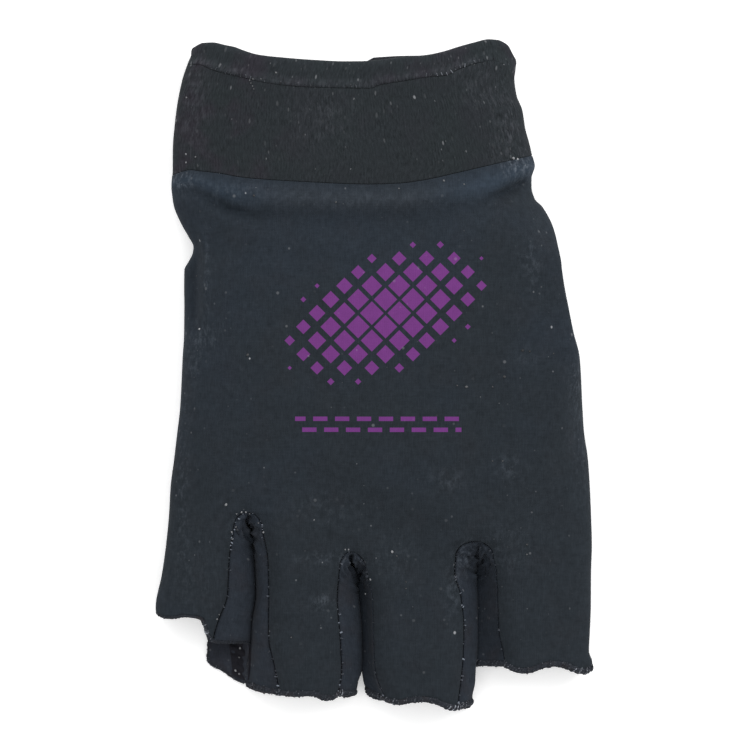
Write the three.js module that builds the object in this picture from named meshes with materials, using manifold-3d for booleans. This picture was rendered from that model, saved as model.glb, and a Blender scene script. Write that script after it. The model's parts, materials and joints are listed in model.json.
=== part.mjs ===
// A half-finger fitness glove for the right hand. It lies on its palm with the back of the hand up,
// the wrist towards +Y, the fingers towards -Y and the little finger on the left.
// Millimetres, +Z up. The origin is on the floor under the middle of the glove.
import * as THREE from "three";
import { mergeVertices } from "three/addons/utils/BufferGeometryUtils.js";
import Module from "manifold-3d";

const wasm = await Module();
wasm.setup();
const { lerp, clamp, smoothstep, degToRad } = THREE.MathUtils;

// Driving dimensions
const CLOTH = 1.2; // stretch fabric of the panels, the finger walls and the thumb
const BAND = 1.8; // knitted wrist band
const SEAM_GAP = 0.3; // left between two pieces that are sewn together
const SIDE_SEAM = 4; // height of the side seams over the palm's underside
const SIDE_ROUND = 7; // how far in the palm's rounded outer edge reaches
const SLIT_SEAM = 3.2; // height of the palm's edge beside a finger gap
const SLIT_ROUND = 3.2; // how far in that edge is rounded
const CROWN_POWER = 2.8; // the back's cross-section is a superellipse of this power
const DIP = 2.4; // how far the back panel dips along a finger gap
const DIP_REACH = 5; // how far in that dip reaches
const DIP_RUN = 12; // it is full this far from the web
const WALL_BULGE = 0.6; // the finger walls are bowed out by this
const HEM_RADIUS = 0.95; // rolled hem round a finger or the thumb
const HEM_SIDES = 6;
const WRIST_HEM = 6.5; // folded hem round the wrist
const HEM_PROUD = 0.35; // it stands this far out from the band on each face
const ROLL = { at: 3.9, reach: 2.7, height: 1.5 }; // puffed roll beside the band
const CREASE = { at: 9.8, reach: 3.2, depth: 1.3 }; // crease that follows the roll

// The thumb is folded under the palm, which lies raised over it. Reach is measured from the thumb
// hole along the thumb, and aside across it.
const THUMB = { x: 31, y: 12, turn: degToRad(25), lift: 8.6, flatFrom: -18, flatTo: 45 };
const THUMB_FLAT = 17; // half width of the raised part over the thumb
const THUMB_SHOULDER = 13; // over which it falls to the floor
const THUMB_HOLE = { along: 12.2, aside: 10.3 };
const LIFT_SHARE = 0.22; // share of that lift which shows on the back

// The outline seen from above and the height of the back, from the wrist to the fingertips
const OUTLINE = [
  { y: 82.0, left: -42.8, right: 32.1, crown: 12.0 },
  { y: 76.8, left: -44.0, right: 33.0, crown: 12.0 },
  { y: 71.0, left: -46.0, right: 33.3, crown: 12.0 },
  { y: 63.4, left: -47.6, right: 35.2, crown: 12.1 },
  { y: 55.7, left: -48.4, right: 36.8, crown: 12.3 },
  { y: 50.0, left: -48.5, right: 38.2, crown: 12.5 },
  { y: 45.0, left: -48.7, right: 37.4, crown: 12.8 },
  { y: 40.3, left: -48.1, right: 40.0, crown: 13.0 },
  { y: 36.0, left: -46.4, right: 42.3, crown: 13.3 },
  { y: 30.5, left: -43.5, right: 43.9, crown: 13.8 },
  { y: 27.0, left: -44.8, right: 44.6, crown: 14.1 },
  { y: 24.0, left: -45.7, right: 45.0, crown: 14.4 },
  { y: 17.0, left: -45.8, right: 46.2, crown: 15.0 },
  { y: 4.0, left: -46.2, right: 48.9, crown: 15.4 },
  { y: -8.0, left: -46.6, right: 49.6, crown: 15.2 },
  { y: -20.0, left: -48.1, right: 50.9, crown: 14.6 },
  { y: -34.0, left: -49.5, right: 51.8, crown: 13.4 },
  { y: -48.0, left: -51.2, right: 51.9, crown: 12.2 },
  { y: -56.0, left: -52.3, right: 51.8, crown: 11.6 },
  { y: -69.0, left: -52.3, right: 52.3, crown: 11.0 },
  { y: -80.0, left: -52.3, right: 52.3, crown: 10.6 },
];

// Lines across the glove, on its back and on its palm: the seam of the wrist band and the wrist edge
const BAND_SEAM = [
  { x: -48.6, back: 48.0, palm: 48.0 },
  { x: -38.5, back: 48.5 },
  { x: -29.4, back: 48.0 },
  { x: -17.2, back: 46.3 },
  { x: -1.8, back: 45.0 },
  { x: 13.6, back: 46.6 },
  { x: 25.8, back: 48.8 },
  { x: 38.0, back: 52.2, palm: 52.2 },
];
const WRIST_EDGE = [
  { x: -43.2, back: 78.7, palm: 78.7 },
  { x: -38.3, back: 80.4, palm: 78.6 },
  { x: -34.0, back: 79.7, palm: 77.6 },
  { x: -28.4, back: 76.9, palm: 75.8 },
  { x: -18.0, back: 75.4, palm: 74.6 },
  { x: -8.4, back: 74.9, palm: 74.7 },
  { x: -0.6, back: 75.2, palm: 75.7 },
  { x: 13.6, back: 76.9, palm: 76.6 },
  { x: 20.5, back: 78.7, palm: 77.0 },
  { x: 26.5, back: 80.2, palm: 77.6 },
  { x: 31.0, back: 79.6, palm: 77.4 },
  { x: 33.0, back: 76.8, palm: 76.8 },
];

// The three finger gaps: the webs on the back and on the palm, then the back panel's two edges, the
// valley where the finger walls meet and the width left open there
const FINGER_GAPS = [
  {
    back: { x: -30.6, y: -33.0 },
    palm: { x: -30.3, y: -36.6 },
    rows: [
      { y: -37.1, left: -33.8, valley: -30.1, right: -26.9, open: 0.7 },
      { y: -44.6, left: -34.9, valley: -29.4, right: -25.6 },
      { y: -52.8, left: -35.3, valley: -29.0, right: -25.3 },
      { y: -59.0, left: -37.6, valley: -30.0, right: -25.3 },
      { y: -63.4, left: -39.4, valley: -30.2, right: -25.3 },
      { y: -75.0, left: -39.6, valley: -30.2, right: -23.0, open: 0.7 },
    ],
  },
  {
    back: { x: -5.9, y: -42.5 },
    palm: { x: -5.4, y: -46.2 },
    rows: [
      { y: -47.0, left: -8.5, valley: -5.3, right: -2.2, open: 0.7 },
      { y: -53.5, left: -9.0, valley: -4.2, right: -0.7 },
      { y: -63.6, left: -8.3, valley: -3.4, right: -0.4 },
      { y: -71.0, left: -8.0, valley: -3.4, right: 0.0, open: 0.7 },
      { y: -77.3, left: -9.0, valley: -3.1, right: 2.3, open: 3.2 },
    ],
  },
  {
    back: { x: 23.9, y: -39.9 },
    palm: { x: 24.4, y: -43.6 },
    rows: [
      { y: -43.2, left: 19.3, valley: 24.4, right: 28.0, open: 0.7 },
      { y: -47.3, left: 19.0, valley: 24.2, right: 28.9 },
      { y: -52.8, left: 20.5, valley: 24.6, right: 29.2 },
      { y: -61.0, left: 21.3, valley: 24.6, right: 29.5 },
      { y: -67.7, left: 21.1, valley: 24.6, right: 30.8 },
      { y: -78.0, left: 20.0, valley: 24.6, right: 31.9, open: 0.7 },
    ],
  },
];
const WEB_SIDES = { left: -33.5, right: -39.5 }; // where the line of the webs meets the side seams
const PALM_ARCH = 1; // length of the narrow rounded end of the palm's slits

// How far each finger's hem reaches, from 0 on the finger's left to 1 on its right
const FINGERTIPS = [
  { finger: 0, across: 0, back: -58.0, palm: -57.7 },
  { finger: 0, across: 0.3, back: -58.7, palm: -58.4 },
  { finger: 0, across: 0.5, back: -58.7, palm: -60.0 },
  { finger: 0, across: 0.56, palm: -68.6 },
  { finger: 0, across: 0.7, back: -58.9, palm: -71.2 },
  { finger: 0, across: 0.86, back: -59.6 },
  { finger: 0, across: 0.89, palm: -73.7 },
  { finger: 0, across: 0.925, palm: -65.6 },
  { finger: 0, across: 1, back: -63.8, palm: -64.3 },
  { finger: 1, across: 0, back: -77.0, palm: -75.2 },
  { finger: 1, across: 0.3, back: -77.8, palm: -77.3 },
  { finger: 1, across: 1, back: -77.3, palm: -77.3 },
  { finger: 2, across: 0, back: -78.2, palm: -75.6 },
  { finger: 2, across: 0.25, back: -79.1, palm: -78.6 },
  { finger: 2, across: 0.5, back: -78.7, palm: -79.0 },
  { finger: 2, across: 0.8, back: -80.2, palm: -79.6 },
  { finger: 2, across: 1, back: -80.4, palm: -79.2 },
  { finger: 3, across: 0, back: -70.3, palm: -69.8 },
  { finger: 3, across: 0.2, back: -71.5, palm: -70.6 },
  { finger: 3, across: 0.5, back: -70.3, palm: -70.6 },
  { finger: 3, across: 0.85, back: -71.8, palm: -70.8 },
  { finger: 3, across: 1, back: -70.6, palm: -70.4 },
];

// Where the mesh lines run across each finger, closest where the cloth is bent most
const COLUMNS = {
  back: [
    [0, 0.012, 0.045, 0.1, 0.18, 0.32, 0.5, 0.7, 0.88, 1],
    [0, 0.1, 0.3, 0.5, 0.7, 0.9, 1],
    [0, 0.1, 0.3, 0.5, 0.7, 0.9, 1],
    [0, 0.12, 0.3, 0.5, 0.68, 0.82, 0.9, 0.955, 0.988, 1],
  ],
  palm: [
    [0, 0.02, 0.09, 0.2, 0.31, 0.5, 0.56, 0.7, 0.89, 0.925, 0.982, 1],
    [0, 0.018, 0.067, 0.14, 0.32, 0.5, 0.68, 0.86, 0.933, 0.982, 1],
    [0, 0.018, 0.067, 0.14, 0.32, 0.5, 0.68, 0.86, 0.933, 0.982, 1],
    [0, 0.015, 0.055, 0.12, 0.3, 0.52, 0.74, 0.83, 0.925, 0.982, 1],
  ],
};
// Where they run along the hand, from the webs at 0 to the band at 1, and along the fingers
const NEAR_BAND = [1, 0.981, 0.955, 0.924, 0.888, 0.835];
const HAND_ROWS = [...NEAR_BAND, 0.75, 0.65, 0.55, 0.45, 0.35, 0.25, 0.15, 0.07, 0.02];
const FINGER_ROWS = [0, 0.02, 0.06, 0.12, 0.24, 0.42, 0.62, 0.82, 1];
const WALL_COLUMNS = [0, 0.3, 0.65, 1];

// The thumb's rings: its upper and its lower line, by reach and height, and half its width
const THUMB_RINGS = [
  { upperReach: 13.0, upperZ: 8.25, lowerReach: -13.0, lowerZ: 8.25, half: 11.3 },
  { upperReach: 13.3, upperZ: 8.1, lowerReach: -14.3, lowerZ: 4.8, half: 12.3 },
  { upperReach: 13.8, upperZ: 8.0, lowerReach: -12.4, lowerZ: 1.3, half: 13.1 },
  { upperReach: 15.0, upperZ: 7.9, lowerReach: -6.5, lowerZ: 0.0, half: 13.7 },
  { upperReach: 17.5, upperZ: 7.9, lowerReach: 3.0, lowerZ: 0.0, half: 14.0 },
  { upperReach: 21.5, upperZ: 7.9, lowerReach: 13.0, lowerZ: 0.0, half: 14.0 },
  { upperReach: 28.5, upperZ: 7.9, lowerReach: 24.0, lowerZ: 0.0, half: 13.8 },
  { upperReach: 37.5, upperZ: 7.9, lowerReach: 35.5, lowerZ: 0.0, half: 13.4 },
];
const THUMB_POINTS = 24;
const THUMB_POWER = { root: 2, end: 2.6 }; // from an ellipse at the hole to a flattened tube

const COLOURS = { spandex: 0x2b2f36, wall: 0x2a2d34, knit: 0x2f3337, hem: 0x26282c };

// A smooth curve through one column of a table, with no overshoot between its rows
function follow(table, along, column) {
  const rows = table.filter((row) => row[column] !== undefined).sort((a, b) => a[along] - b[along]);
  const at = rows.map((row) => row[along]);
  const value = rows.map((row) => row[column]);
  const last = rows.length - 1;
  const slope = at.slice(1).map((next, i) => (value[i + 1] - value[i]) / (next - at[i]));
  const tangent = at.map((_, i) => {
    const before = slope[Math.max(i - 1, 0)];
    const after = slope[Math.min(i, last - 1)];
    return before * after <= 0 ? 0 : (2 * before * after) / (before + after);
  });
  return (place) => {
    const here = clamp(place, at[0], at[last]);
    const i = Math.max(at.findIndex((end) => end >= here) - 1, 0);
    const step = at[i + 1] - at[i];
    const t = (here - at[i]) / step;
    const ease = t * t * (3 - 2 * t);
    const start = t * (1 - t) * (1 - t) * step * tangent[i];
    const end = t * t * (1 - t) * step * tangent[i + 1];
    return lerp(value[i], value[i + 1], ease) + start - end;
  };
}

const outline = {
  left: follow(OUTLINE, "y", "left"),
  right: follow(OUTLINE, "y", "right"),
  crown: follow(OUTLINE, "y", "crown"),
};
const bandSeam = {
  back: follow(BAND_SEAM, "x", "back"),
  palm: follow(BAND_SEAM, "x", "palm"),
};
const wristEdge = {
  back: follow(WRIST_EDGE, "x", "back"),
  palm: follow(WRIST_EDGE, "x", "palm"),
};
const gapCurves = FINGER_GAPS.map(({ rows }) => ({
  left: follow(rows, "y", "left"),
  right: follow(rows, "y", "right"),
  valley: follow(rows, "y", "valley"),
  open: follow(rows, "y", "open"),
}));

// The point at a share across the outline, from -1 on the left to 1 on the right
function acrossAt(share, y) {
  return lerp(outline.left(y), outline.right(y), (share + 1) / 2);
}

function shareAt(x, y) {
  const left = outline.left(y);
  return clamp((2 * (x - left)) / (outline.right(y) - left) - 1, -1, 1);
}

// The y of a line across the glove, at a share across the outline
function lineAt(line, share) {
  let y = line(acrossAt(share, 50));
  for (let i = 0; i < 6; i += 1) y = line(acrossAt(share, y));
  return y;
}

// Reach along the folded thumb and distance aside from its middle
function thumbPlace(x, y) {
  const [dx, dy] = [x - THUMB.x, y - THUMB.y];
  const [sin, cos] = [Math.sin(THUMB.turn), Math.cos(THUMB.turn)];
  return { reach: -dx * sin - dy * cos, aside: dx * cos - dy * sin };
}

function thumbPoint(reach, aside, z) {
  const [sin, cos] = [Math.sin(THUMB.turn), Math.cos(THUMB.turn)];
  return new THREE.Vector3(THUMB.x - reach * sin + aside * cos, THUMB.y - reach * cos - aside * sin, z);
}

// Height of the palm's underside over the floor
function lift(x, y) {
  const { reach, aside } = thumbPlace(x, y);
  const past = Math.max(THUMB.flatFrom - reach, reach - THUMB.flatTo, 0);
  const beside = Math.max(Math.abs(aside) - THUMB_FLAT, 0);
  const along = 1 - smoothstep(past, 0, THUMB_SHOULDER);
  return THUMB.lift * along * (1 - smoothstep(beside, 0, THUMB_SHOULDER));
}

// Height of a rounded edge at a distance in from it
function curl(distance, height, reach) {
  const share = 1 - clamp(distance / reach, 0, 1);
  return height * (1 - Math.sqrt(1 - share * share));
}

// The roll beside the wrist band and the crease after it
function fold(x, y) {
  const from = bandSeam.back(x) - y;
  const roll = ROLL.height * Math.exp(-(((from - ROLL.at) / ROLL.reach) ** 2));
  const crease = CREASE.depth * Math.exp(-(((from - CREASE.at) / CREASE.reach) ** 2));
  return from > 0 ? roll - crease : 0;
}

// The x of a slit's edge in a panel
function slitEdge(gap, panel, edge, y) {
  const web = FINGER_GAPS[gap][panel];
  const curves = gapCurves[gap];
  const straight = (at) => {
    if (panel === "back") return curves[edge](at);
    return curves.valley(at) + (edge === "left" ? -0.5 : 0.5) * curves.open(at);
  };
  const archEnd = panel === "back" ? FINGER_GAPS[gap].rows[0].y : web.y - PALM_ARCH;
  if (y <= archEnd) return straight(y);
  const rise = Math.min((y - archEnd) / (web.y - archEnd), 1);
  return lerp(web.x, straight(archEnd), Math.sqrt(1 - rise * rise));
}

// How far a point of a panel is from the edge of a slit
function fromSlit(gap, panel, x, y) {
  const web = FINGER_GAPS[gap][panel];
  if (y >= web.y) return Math.hypot(x - web.x, y - web.y);
  const left = slitEdge(gap, panel, "left", y) - x;
  const right = x - slitEdge(gap, panel, "right", y);
  return Math.max(left, right, 0);
}

// Height of the outer face of the back, over the side seam
function backHeight(x, y) {
  const share = Math.abs(shareAt(x, y));
  const raised = lift(x, y);
  const seam = SIDE_SEAM + raised;
  const top = outline.crown(y) + LIFT_SHARE * raised + fold(x, y);
  return seam + (top - seam) * (1 - share ** CROWN_POWER) ** (1 / CROWN_POWER);
}

function palmHeight(x, y) {
  const edge = Math.min(x - outline.left(y), outline.right(y) - x);
  return lift(x, y) + curl(edge, SIDE_SEAM, SIDE_ROUND);
}

function panelHeight(panel, x, y) {
  if (panel === "palm") {
    const slits = FINGER_GAPS.map((_, gap) => curl(fromSlit(gap, panel, x, y), SLIT_SEAM, SLIT_ROUND));
    return palmHeight(x, y) + Math.max(...slits);
  }
  const dips = FINGER_GAPS.map(({ back }, gap) => {
    const share = 1 - clamp(fromSlit(gap, panel, x, y) / DIP_REACH, 0, 1);
    return lerp(DIP / 2, DIP, smoothstep(back.y - y, 0, DIP_RUN)) * share * share;
  });
  return backHeight(x, y) - Math.max(...dips);
}

// A sheet is the outer face of a piece of cloth: its points, its faces and their normals
function sheet(points, faces) {
  const normals = points.map(() => new THREE.Vector3());
  for (const face of faces) {
    const [a, b, c] = face.map((i) => points[i]);
    const normal = b.clone().sub(a).cross(c.clone().sub(a));
    for (const i of face) normals[i].add(normal);
  }
  normals.forEach((normal) => normal.normalize());
  return { points, faces, inward: normals.map((normal) => normal.clone().negate()), normals };
}

// Two triangles for each cell of a grid of point numbers
function cells(grid) {
  const faces = [];
  for (let i = 1; i < grid.length; i += 1) {
    for (let j = 1; j < grid[i].length; j += 1) {
      const [a, b, c, d] = [grid[i - 1][j - 1], grid[i][j - 1], grid[i][j], grid[i - 1][j]];
      if ((i + j) % 2) faces.push([a, b, c], [a, c, d]);
      else faces.push([a, b, d], [b, c, d]);
    }
  }
  return faces;
}

const turnOver = (faces) => faces.map(([a, b, c]) => [a, c, b]);

function meshGeometry(points, faces) {
  const geometry = new THREE.BufferGeometry();
  const flat = points.flatMap((point) => point.toArray());
  geometry.setAttribute("position", new THREE.Float32BufferAttribute(flat, 3));
  geometry.setIndex(faces.flat());
  geometry.computeVertexNormals();
  return geometry;
}

// Gives a sheet its thickness towards the inside and closes it round every free edge
function thicken({ points, faces, inward }, thickness) {
  const count = points.length;
  const inner = points.map((point, i) => point.clone().addScaledVector(inward[i], thickness));
  const used = new Set(faces.flatMap(([a, b, c]) => [`${a},${b}`, `${b},${c}`, `${c},${a}`]));
  const walls = [];
  for (const edge of used) {
    const [a, b] = edge.split(",").map(Number);
    if (!used.has(`${b},${a}`)) walls.push([b, a, a + count], [b, a + count, b + count]);
  }
  const lining = faces.map(([a, b, c]) => [a + count, c + count, b + count]);
  return meshGeometry([...points, ...inner], [...faces, ...lining, ...walls]);
}

// Turns the inward direction at a free edge, so that the wall there is square to an axis
function square(sheetToTurn, index, axis) {
  const inward = sheetToTurn.inward[index];
  inward[axis] = 0;
  inward.normalize();
}

// A panel of the hand: one grid from the wrist band to the webs and a strip for each finger
function makePanel(panel) {
  const turned = panel === "palm";
  const points = [];
  const faces = [];
  const put = (x, y, z) => points.push(new THREE.Vector3(x, y, z)) - 1;
  const webs = [
    { x: outline.left(WEB_SIDES.left), y: WEB_SIDES.left },
    ...FINGER_GAPS.map((gap) => gap[panel]),
    { x: outline.right(WEB_SIDES.right), y: WEB_SIDES.right },
  ];
  const half = turned ? -SEAM_GAP / 2 : SEAM_GAP / 2;
  const place = (x, y) => {
    const seam = Math.abs(shareAt(x, y)) > 0.999999;
    return put(x, y, panelHeight(panel, x, y) + (seam ? half : 0));
  };
  const line = bandSeam[panel];
  const fingers = COLUMNS[panel].map((columns, finger) =>
    columns.map((across) => {
      const [from, to] = [webs[finger], webs[finger + 1]];
      const web = { x: lerp(from.x, to.x, across), y: lerp(from.y, to.y, across) };
      const share = shareAt(web.x, web.y);
      return { across, web, share, seamY: lineAt(line, share) - SEAM_GAP / 2 };
    }),
  );
  const handColumns = fingers.flatMap((columns, finger) => (finger ? columns.slice(1) : columns));
  const handRow = (row) =>
    handColumns.map(({ web, share, seamY }) => {
      const y = lerp(web.y, seamY, row);
      return place(row ? acrossAt(share, y) : web.x, y);
    });
  const hand = [...HAND_ROWS, 0].map(handRow);
  const webRow = hand[hand.length - 1];
  faces.push(...cells(hand));
  let first = 0;
  const strips = fingers.map((columns, finger) => {
    const tips = FINGERTIPS.filter((row) => row.finger === finger);
    const tip = follow(tips, "across", panel);
    const reach = SEAM_GAP + 2 * HEM_RADIUS;
    const strip = FINGER_ROWS.map((row) => {
      if (row === 0) return webRow.slice(first, first + columns.length);
      const yAt = ({ across, web }) => lerp(web.y, tip(across) + reach, row);
      const [yLeft, yRight] = [yAt(columns[0]), yAt(columns[columns.length - 1])];
      const left = finger ? slitEdge(finger - 1, panel, "right", yLeft) : outline.left(yLeft);
      const right = finger < 3 ? slitEdge(finger, panel, "left", yRight) : outline.right(yRight);
      return columns.map((column) => {
        const y = yAt(column);
        const onLeft = finger === 0 && column.across === 0;
        const onRight = finger === 3 && column.across === 1;
        if (onLeft) return place(outline.left(y), y);
        if (onRight) return place(outline.right(y), y);
        return place(lerp(left, right, column.across), y);
      });
    });
    first += columns.length - 1;
    faces.push(...cells(strip));
    return strip;
  });
  const outward = turned ? turnOver(faces) : faces;
  const made = sheet(points, outward);
  for (const index of hand[0]) square(made, index, "y");
  const leftSeam = [...hand.map((row) => row[0]), ...strips[0].map((row) => row[0])];
  const rightSeam = [...hand.map((row) => row.at(-1)), ...strips[3].map((row) => row.at(-1))];
  for (const index of [...leftSeam, ...rightSeam]) square(made, index, "z");
  return { ...made, strips };
}

const back = makePanel("back");
const palm = makePanel("palm");

// Turns the inward directions of two pieces where they meet to the line halfway between them
function mitre(one, i, other, j) {
  const halfway = one.normals[i].clone().add(other.normals[j]).normalize();
  const longer = 1 / clamp(halfway.dot(one.normals[i]), 0.7, 1);
  halfway.multiplyScalar(-longer);
  one.inward[i].copy(halfway);
  other.inward[j].copy(halfway);
}

// The wall round a finger gap: down from one finger's edge, round the web and along the next finger
function makeFingerWall(gap) {
  const edgeOf = ({ strips }) => [
    ...strips[gap].map((row) => row.at(-1)).reverse(),
    ...strips[gap + 1].slice(1).map((row) => row[0]),
  ];
  const [backEdge, palmEdge] = [edgeOf(back), edgeOf(palm)];
  const points = [];
  const grid = backEdge.map((backIndex, k) => {
    const top = back.points[backIndex];
    const bottom = palm.points[palmEdge[k]].clone();
    bottom.z += SEAM_GAP;
    const start = bottom.clone().sub(top).setLength(SEAM_GAP).add(top);
    const beside = backEdge[Math.min(k + 1, backEdge.length - 1)];
    const before = backEdge[Math.max(k - 1, 0)];
    const along = back.points[beside].clone().sub(back.points[before]);
    const bow = along.cross(bottom.clone().sub(start)).normalize();
    return WALL_COLUMNS.map((down) => {
      const point = start.clone().lerp(bottom, down);
      point.addScaledVector(bow, -4 * WALL_BULGE * down * (1 - down));
      return points.push(point) - 1;
    });
  });
  const made = sheet(points, turnOver(cells(grid)));
  grid.forEach((row, k) => {
    mitre(back, backEdge[k], made, row[0]);
    mitre(palm, palmEdge[k], made, row.at(-1));
  });
  return { ...made, grid };
}

const fingerWalls = FINGER_GAPS.map((_, gap) => makeFingerWall(gap));

// The points round the wrist, over the back from left to right and home under the palm
const ROUND_WRIST = [
  ...[-1, -0.995, -0.975, -0.93, -0.86, -0.75, -0.6, -0.42, -0.22, 0].map((share) => ["back", share]),
  ...[0.22, 0.42, 0.6, 0.75, 0.86, 0.93, 0.975, 0.995, 1].map((share) => ["back", share]),
  ...[0.985, 0.93, 0.84, 0.6, 0.3, 0, -0.3, -0.6, -0.84, -0.93, -0.985].map((share) => ["palm", share]),
];

function wristPoint(panel, share, y) {
  const x = acrossAt(share, y);
  const height = panel === "back" ? backHeight : palmHeight;
  return new THREE.Vector3(x, y, height(x, y));
}

// A closed loop of rings of points, as a sheet whose faces look out
function loopSheet(rings) {
  const points = rings.flat();
  const size = rings[0].length;
  const grid = rings.map((ring, i) => [...ring.keys(), 0].map((j) => i * size + j));
  return { ...sheet(points, cells(grid)), size };
}

function makeWristBand() {
  const rings = [1, 0.86, 0.66, 0.44, 0.22, 0.07, 0].map((along) =>
    ROUND_WRIST.map(([panel, share]) => {
      const low = lineAt(bandSeam[panel], share) + SEAM_GAP / 2;
      const high = lineAt(wristEdge[panel], share) - WRIST_HEM - SEAM_GAP;
      return wristPoint(panel, share, lerp(low, high, along));
    }),
  );
  const made = loopSheet(rings);
  const ends = [...Array(made.size).keys()].flatMap((i) => [i, made.points.length - 1 - i]);
  for (const index of ends) square(made, index, "y");
  return made;
}

// The hem's section: distance from the wrist edge, and depth under the band's outer face
const WRIST_HEM_SECTION = [
  { down: WRIST_HEM, deep: -HEM_PROUD },
  { down: WRIST_HEM / 2, deep: -HEM_PROUD },
  { down: 0.8, deep: -HEM_PROUD + 0.05 },
  { down: 0.1, deep: HEM_PROUD },
  { down: 0.1, deep: BAND - HEM_PROUD },
  { down: 0.8, deep: BAND + HEM_PROUD - 0.05 },
  { down: WRIST_HEM, deep: BAND + HEM_PROUD },
];

function makeWristHem() {
  const hemPoint = ([panel, share], down) =>
    wristPoint(panel, share, lineAt(wristEdge[panel], share) - down);
  const hemRing = (down) => ROUND_WRIST.map((place) => hemPoint(place, down));
  const edge = loopSheet([0, WRIST_HEM].map(hemRing));
  const rings = ROUND_WRIST.map((place, i) => {
    const inward = edge.inward[i].clone().setY(0).normalize();
    return WRIST_HEM_SECTION.map(({ down, deep }) => {
      const point = hemPoint(place, down).addScaledVector(inward, deep);
      point.z = Math.max(point.z, 0);
      return point;
    });
  });
  return ringSolid(rings);
}

// A closed solid from sections set round a loop
function ringSolid(rings) {
  const size = rings[0].length;
  const grid = [...rings.keys(), 0].map((i) => [...rings[0].keys(), 0].map((j) => i * size + j));
  const geometry = meshGeometry(rings.flat(), cells(grid));
  if (volumeOf(geometry) > 0) return geometry;
  return meshGeometry(rings.flat(), turnOver(cells(grid)));
}

function volumeOf(geometry) {
  const [position, index] = [geometry.getAttribute("position"), geometry.getIndex()];
  const corner = (i) => new THREE.Vector3().fromBufferAttribute(position, index.getX(i));
  let volume = 0;
  for (let i = 0; i < index.count; i += 3) {
    volume += corner(i).dot(corner(i + 1).cross(corner(i + 2))) / 6;
  }
  return volume;
}

// A rolled hem along a closed edge of cloth. Each step has a point of the outer face and the way in.
function rollAlong(steps) {
  const spread = steps.filter(({ point }, i) => i === 0 || point.distanceTo(steps[i - 1].point) > 0.35);
  const count = spread.length;
  const rings = spread.map(({ point, inward }, i) => {
    const before = point.clone().sub(spread[(i + count - 1) % count].point).normalize();
    const after = spread[(i + 1) % count].point.clone().sub(point).normalize();
    const along = before.clone().add(after).normalize();
    const out = inward.clone().negate().normalize();
    const beyond = along.clone().cross(out).normalize();
    const outward = beyond.clone().cross(along).normalize();
    const stretch = 1 / clamp(along.dot(after), 0.75, 1);
    const centre = point.clone().addScaledVector(inward, CLOTH / 2);
    centre.addScaledVector(beyond, (SEAM_GAP + HEM_RADIUS) * stretch);
    centre.z = Math.max(centre.z, HEM_RADIUS);
    return [...Array(HEM_SIDES).keys()].map((side) => {
      const angle = (2 * Math.PI * (side + 0.5)) / HEM_SIDES;
      const rolled = centre.clone().addScaledVector(outward, HEM_RADIUS * Math.sin(angle));
      return rolled.addScaledVector(beyond, HEM_RADIUS * Math.cos(angle));
    });
  });
  return ringSolid(rings);
}

function makeFingerHem(finger) {
  const stepsOf = (piece, indices) =>
    indices.map((i) => ({ point: piece.points[i], inward: piece.inward[i] }));
  const tipOf = (panel) => panel.strips[finger].at(-1);
  const downWall = (wall, end) => (wall ? stepsOf(wall, wall.grid.at(end).slice(1, -1)) : []);
  return rollAlong([
    ...stepsOf(back, tipOf(back)),
    ...downWall(fingerWalls[finger], 0),
    ...stepsOf(palm, [...tipOf(palm)].reverse()),
    ...downWall(fingerWalls[finger - 1], -1).reverse(),
  ]);
}

// The thumb: a tube that leaves the palm downwards and bends to lie flat under it
function makeThumb() {
  const last = THUMB_RINGS.length - 1;
  const rings = THUMB_RINGS.map((ring, i) => {
    const power = lerp(THUMB_POWER.root, THUMB_POWER.end, smoothstep(i, 0, last / 2));
    return [...Array(THUMB_POINTS).keys()].map((k) => {
      const angle = (2 * Math.PI * k) / THUMB_POINTS;
      const rounded = (value) => Math.sign(value) * Math.abs(value) ** (2 / power);
      const [up, aside] = [rounded(Math.cos(angle)), rounded(Math.sin(angle))];
      const reach = lerp(ring.lowerReach, ring.upperReach, (up + 1) / 2);
      return thumbPoint(reach, aside * ring.half, lerp(ring.lowerZ, ring.upperZ, (up + 1) / 2));
    });
  });
  const made = loopSheet(rings);
  for (let i = 0; i < made.size; i += 1) square(made, i, "z");
  return made;
}

// Cuts the thumb hole through the palm with an upright prism
function cutThumbHole(geometry) {
  const { along, aside } = THUMB_HOLE;
  const oval = new THREE.Shape().absellipse(0, 0, aside, along, 0, 2 * Math.PI);
  const upright = { depth: 3 * THUMB.lift, curveSegments: 24, bevelEnabled: false };
  const prism = new THREE.ExtrudeGeometry(oval, upright);
  prism.rotateZ(-THUMB.turn).translate(THUMB.x, THUMB.y, 0);
  const cut = solidOf(geometry).subtract(solidOf(prism)).getMesh();
  const made = new THREE.BufferGeometry();
  made.setAttribute("position", new THREE.BufferAttribute(cut.vertProperties, cut.numProp));
  made.setIndex(new THREE.BufferAttribute(cut.triVerts, 1));
  made.computeVertexNormals();
  return made;
}

function solidOf(geometry) {
  const bare = new THREE.BufferGeometry().setAttribute("position", geometry.getAttribute("position"));
  bare.setIndex(geometry.getIndex());
  const merged = mergeVertices(bare, 1e-4);
  const vertProperties = merged.getAttribute("position").array;
  return new wasm.Manifold(
    new wasm.Mesh({ numProp: 3, vertProperties, triVerts: new Uint32Array(merged.getIndex().array) }),
  );
}

function piece(name, geometry, color, roughness) {
  const material = new THREE.MeshStandardMaterial({ color, roughness, metalness: 0 });
  const mesh = new THREE.Mesh(geometry, material);
  mesh.name = name;
  return mesh;
}

const thumb = makeThumb();
const thumbEnd = [...Array(thumb.size).keys()].map((i) => {
  const index = thumb.points.length - thumb.size + i;
  return { point: thumb.points[index], inward: thumb.inward[index] };
});

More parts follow.
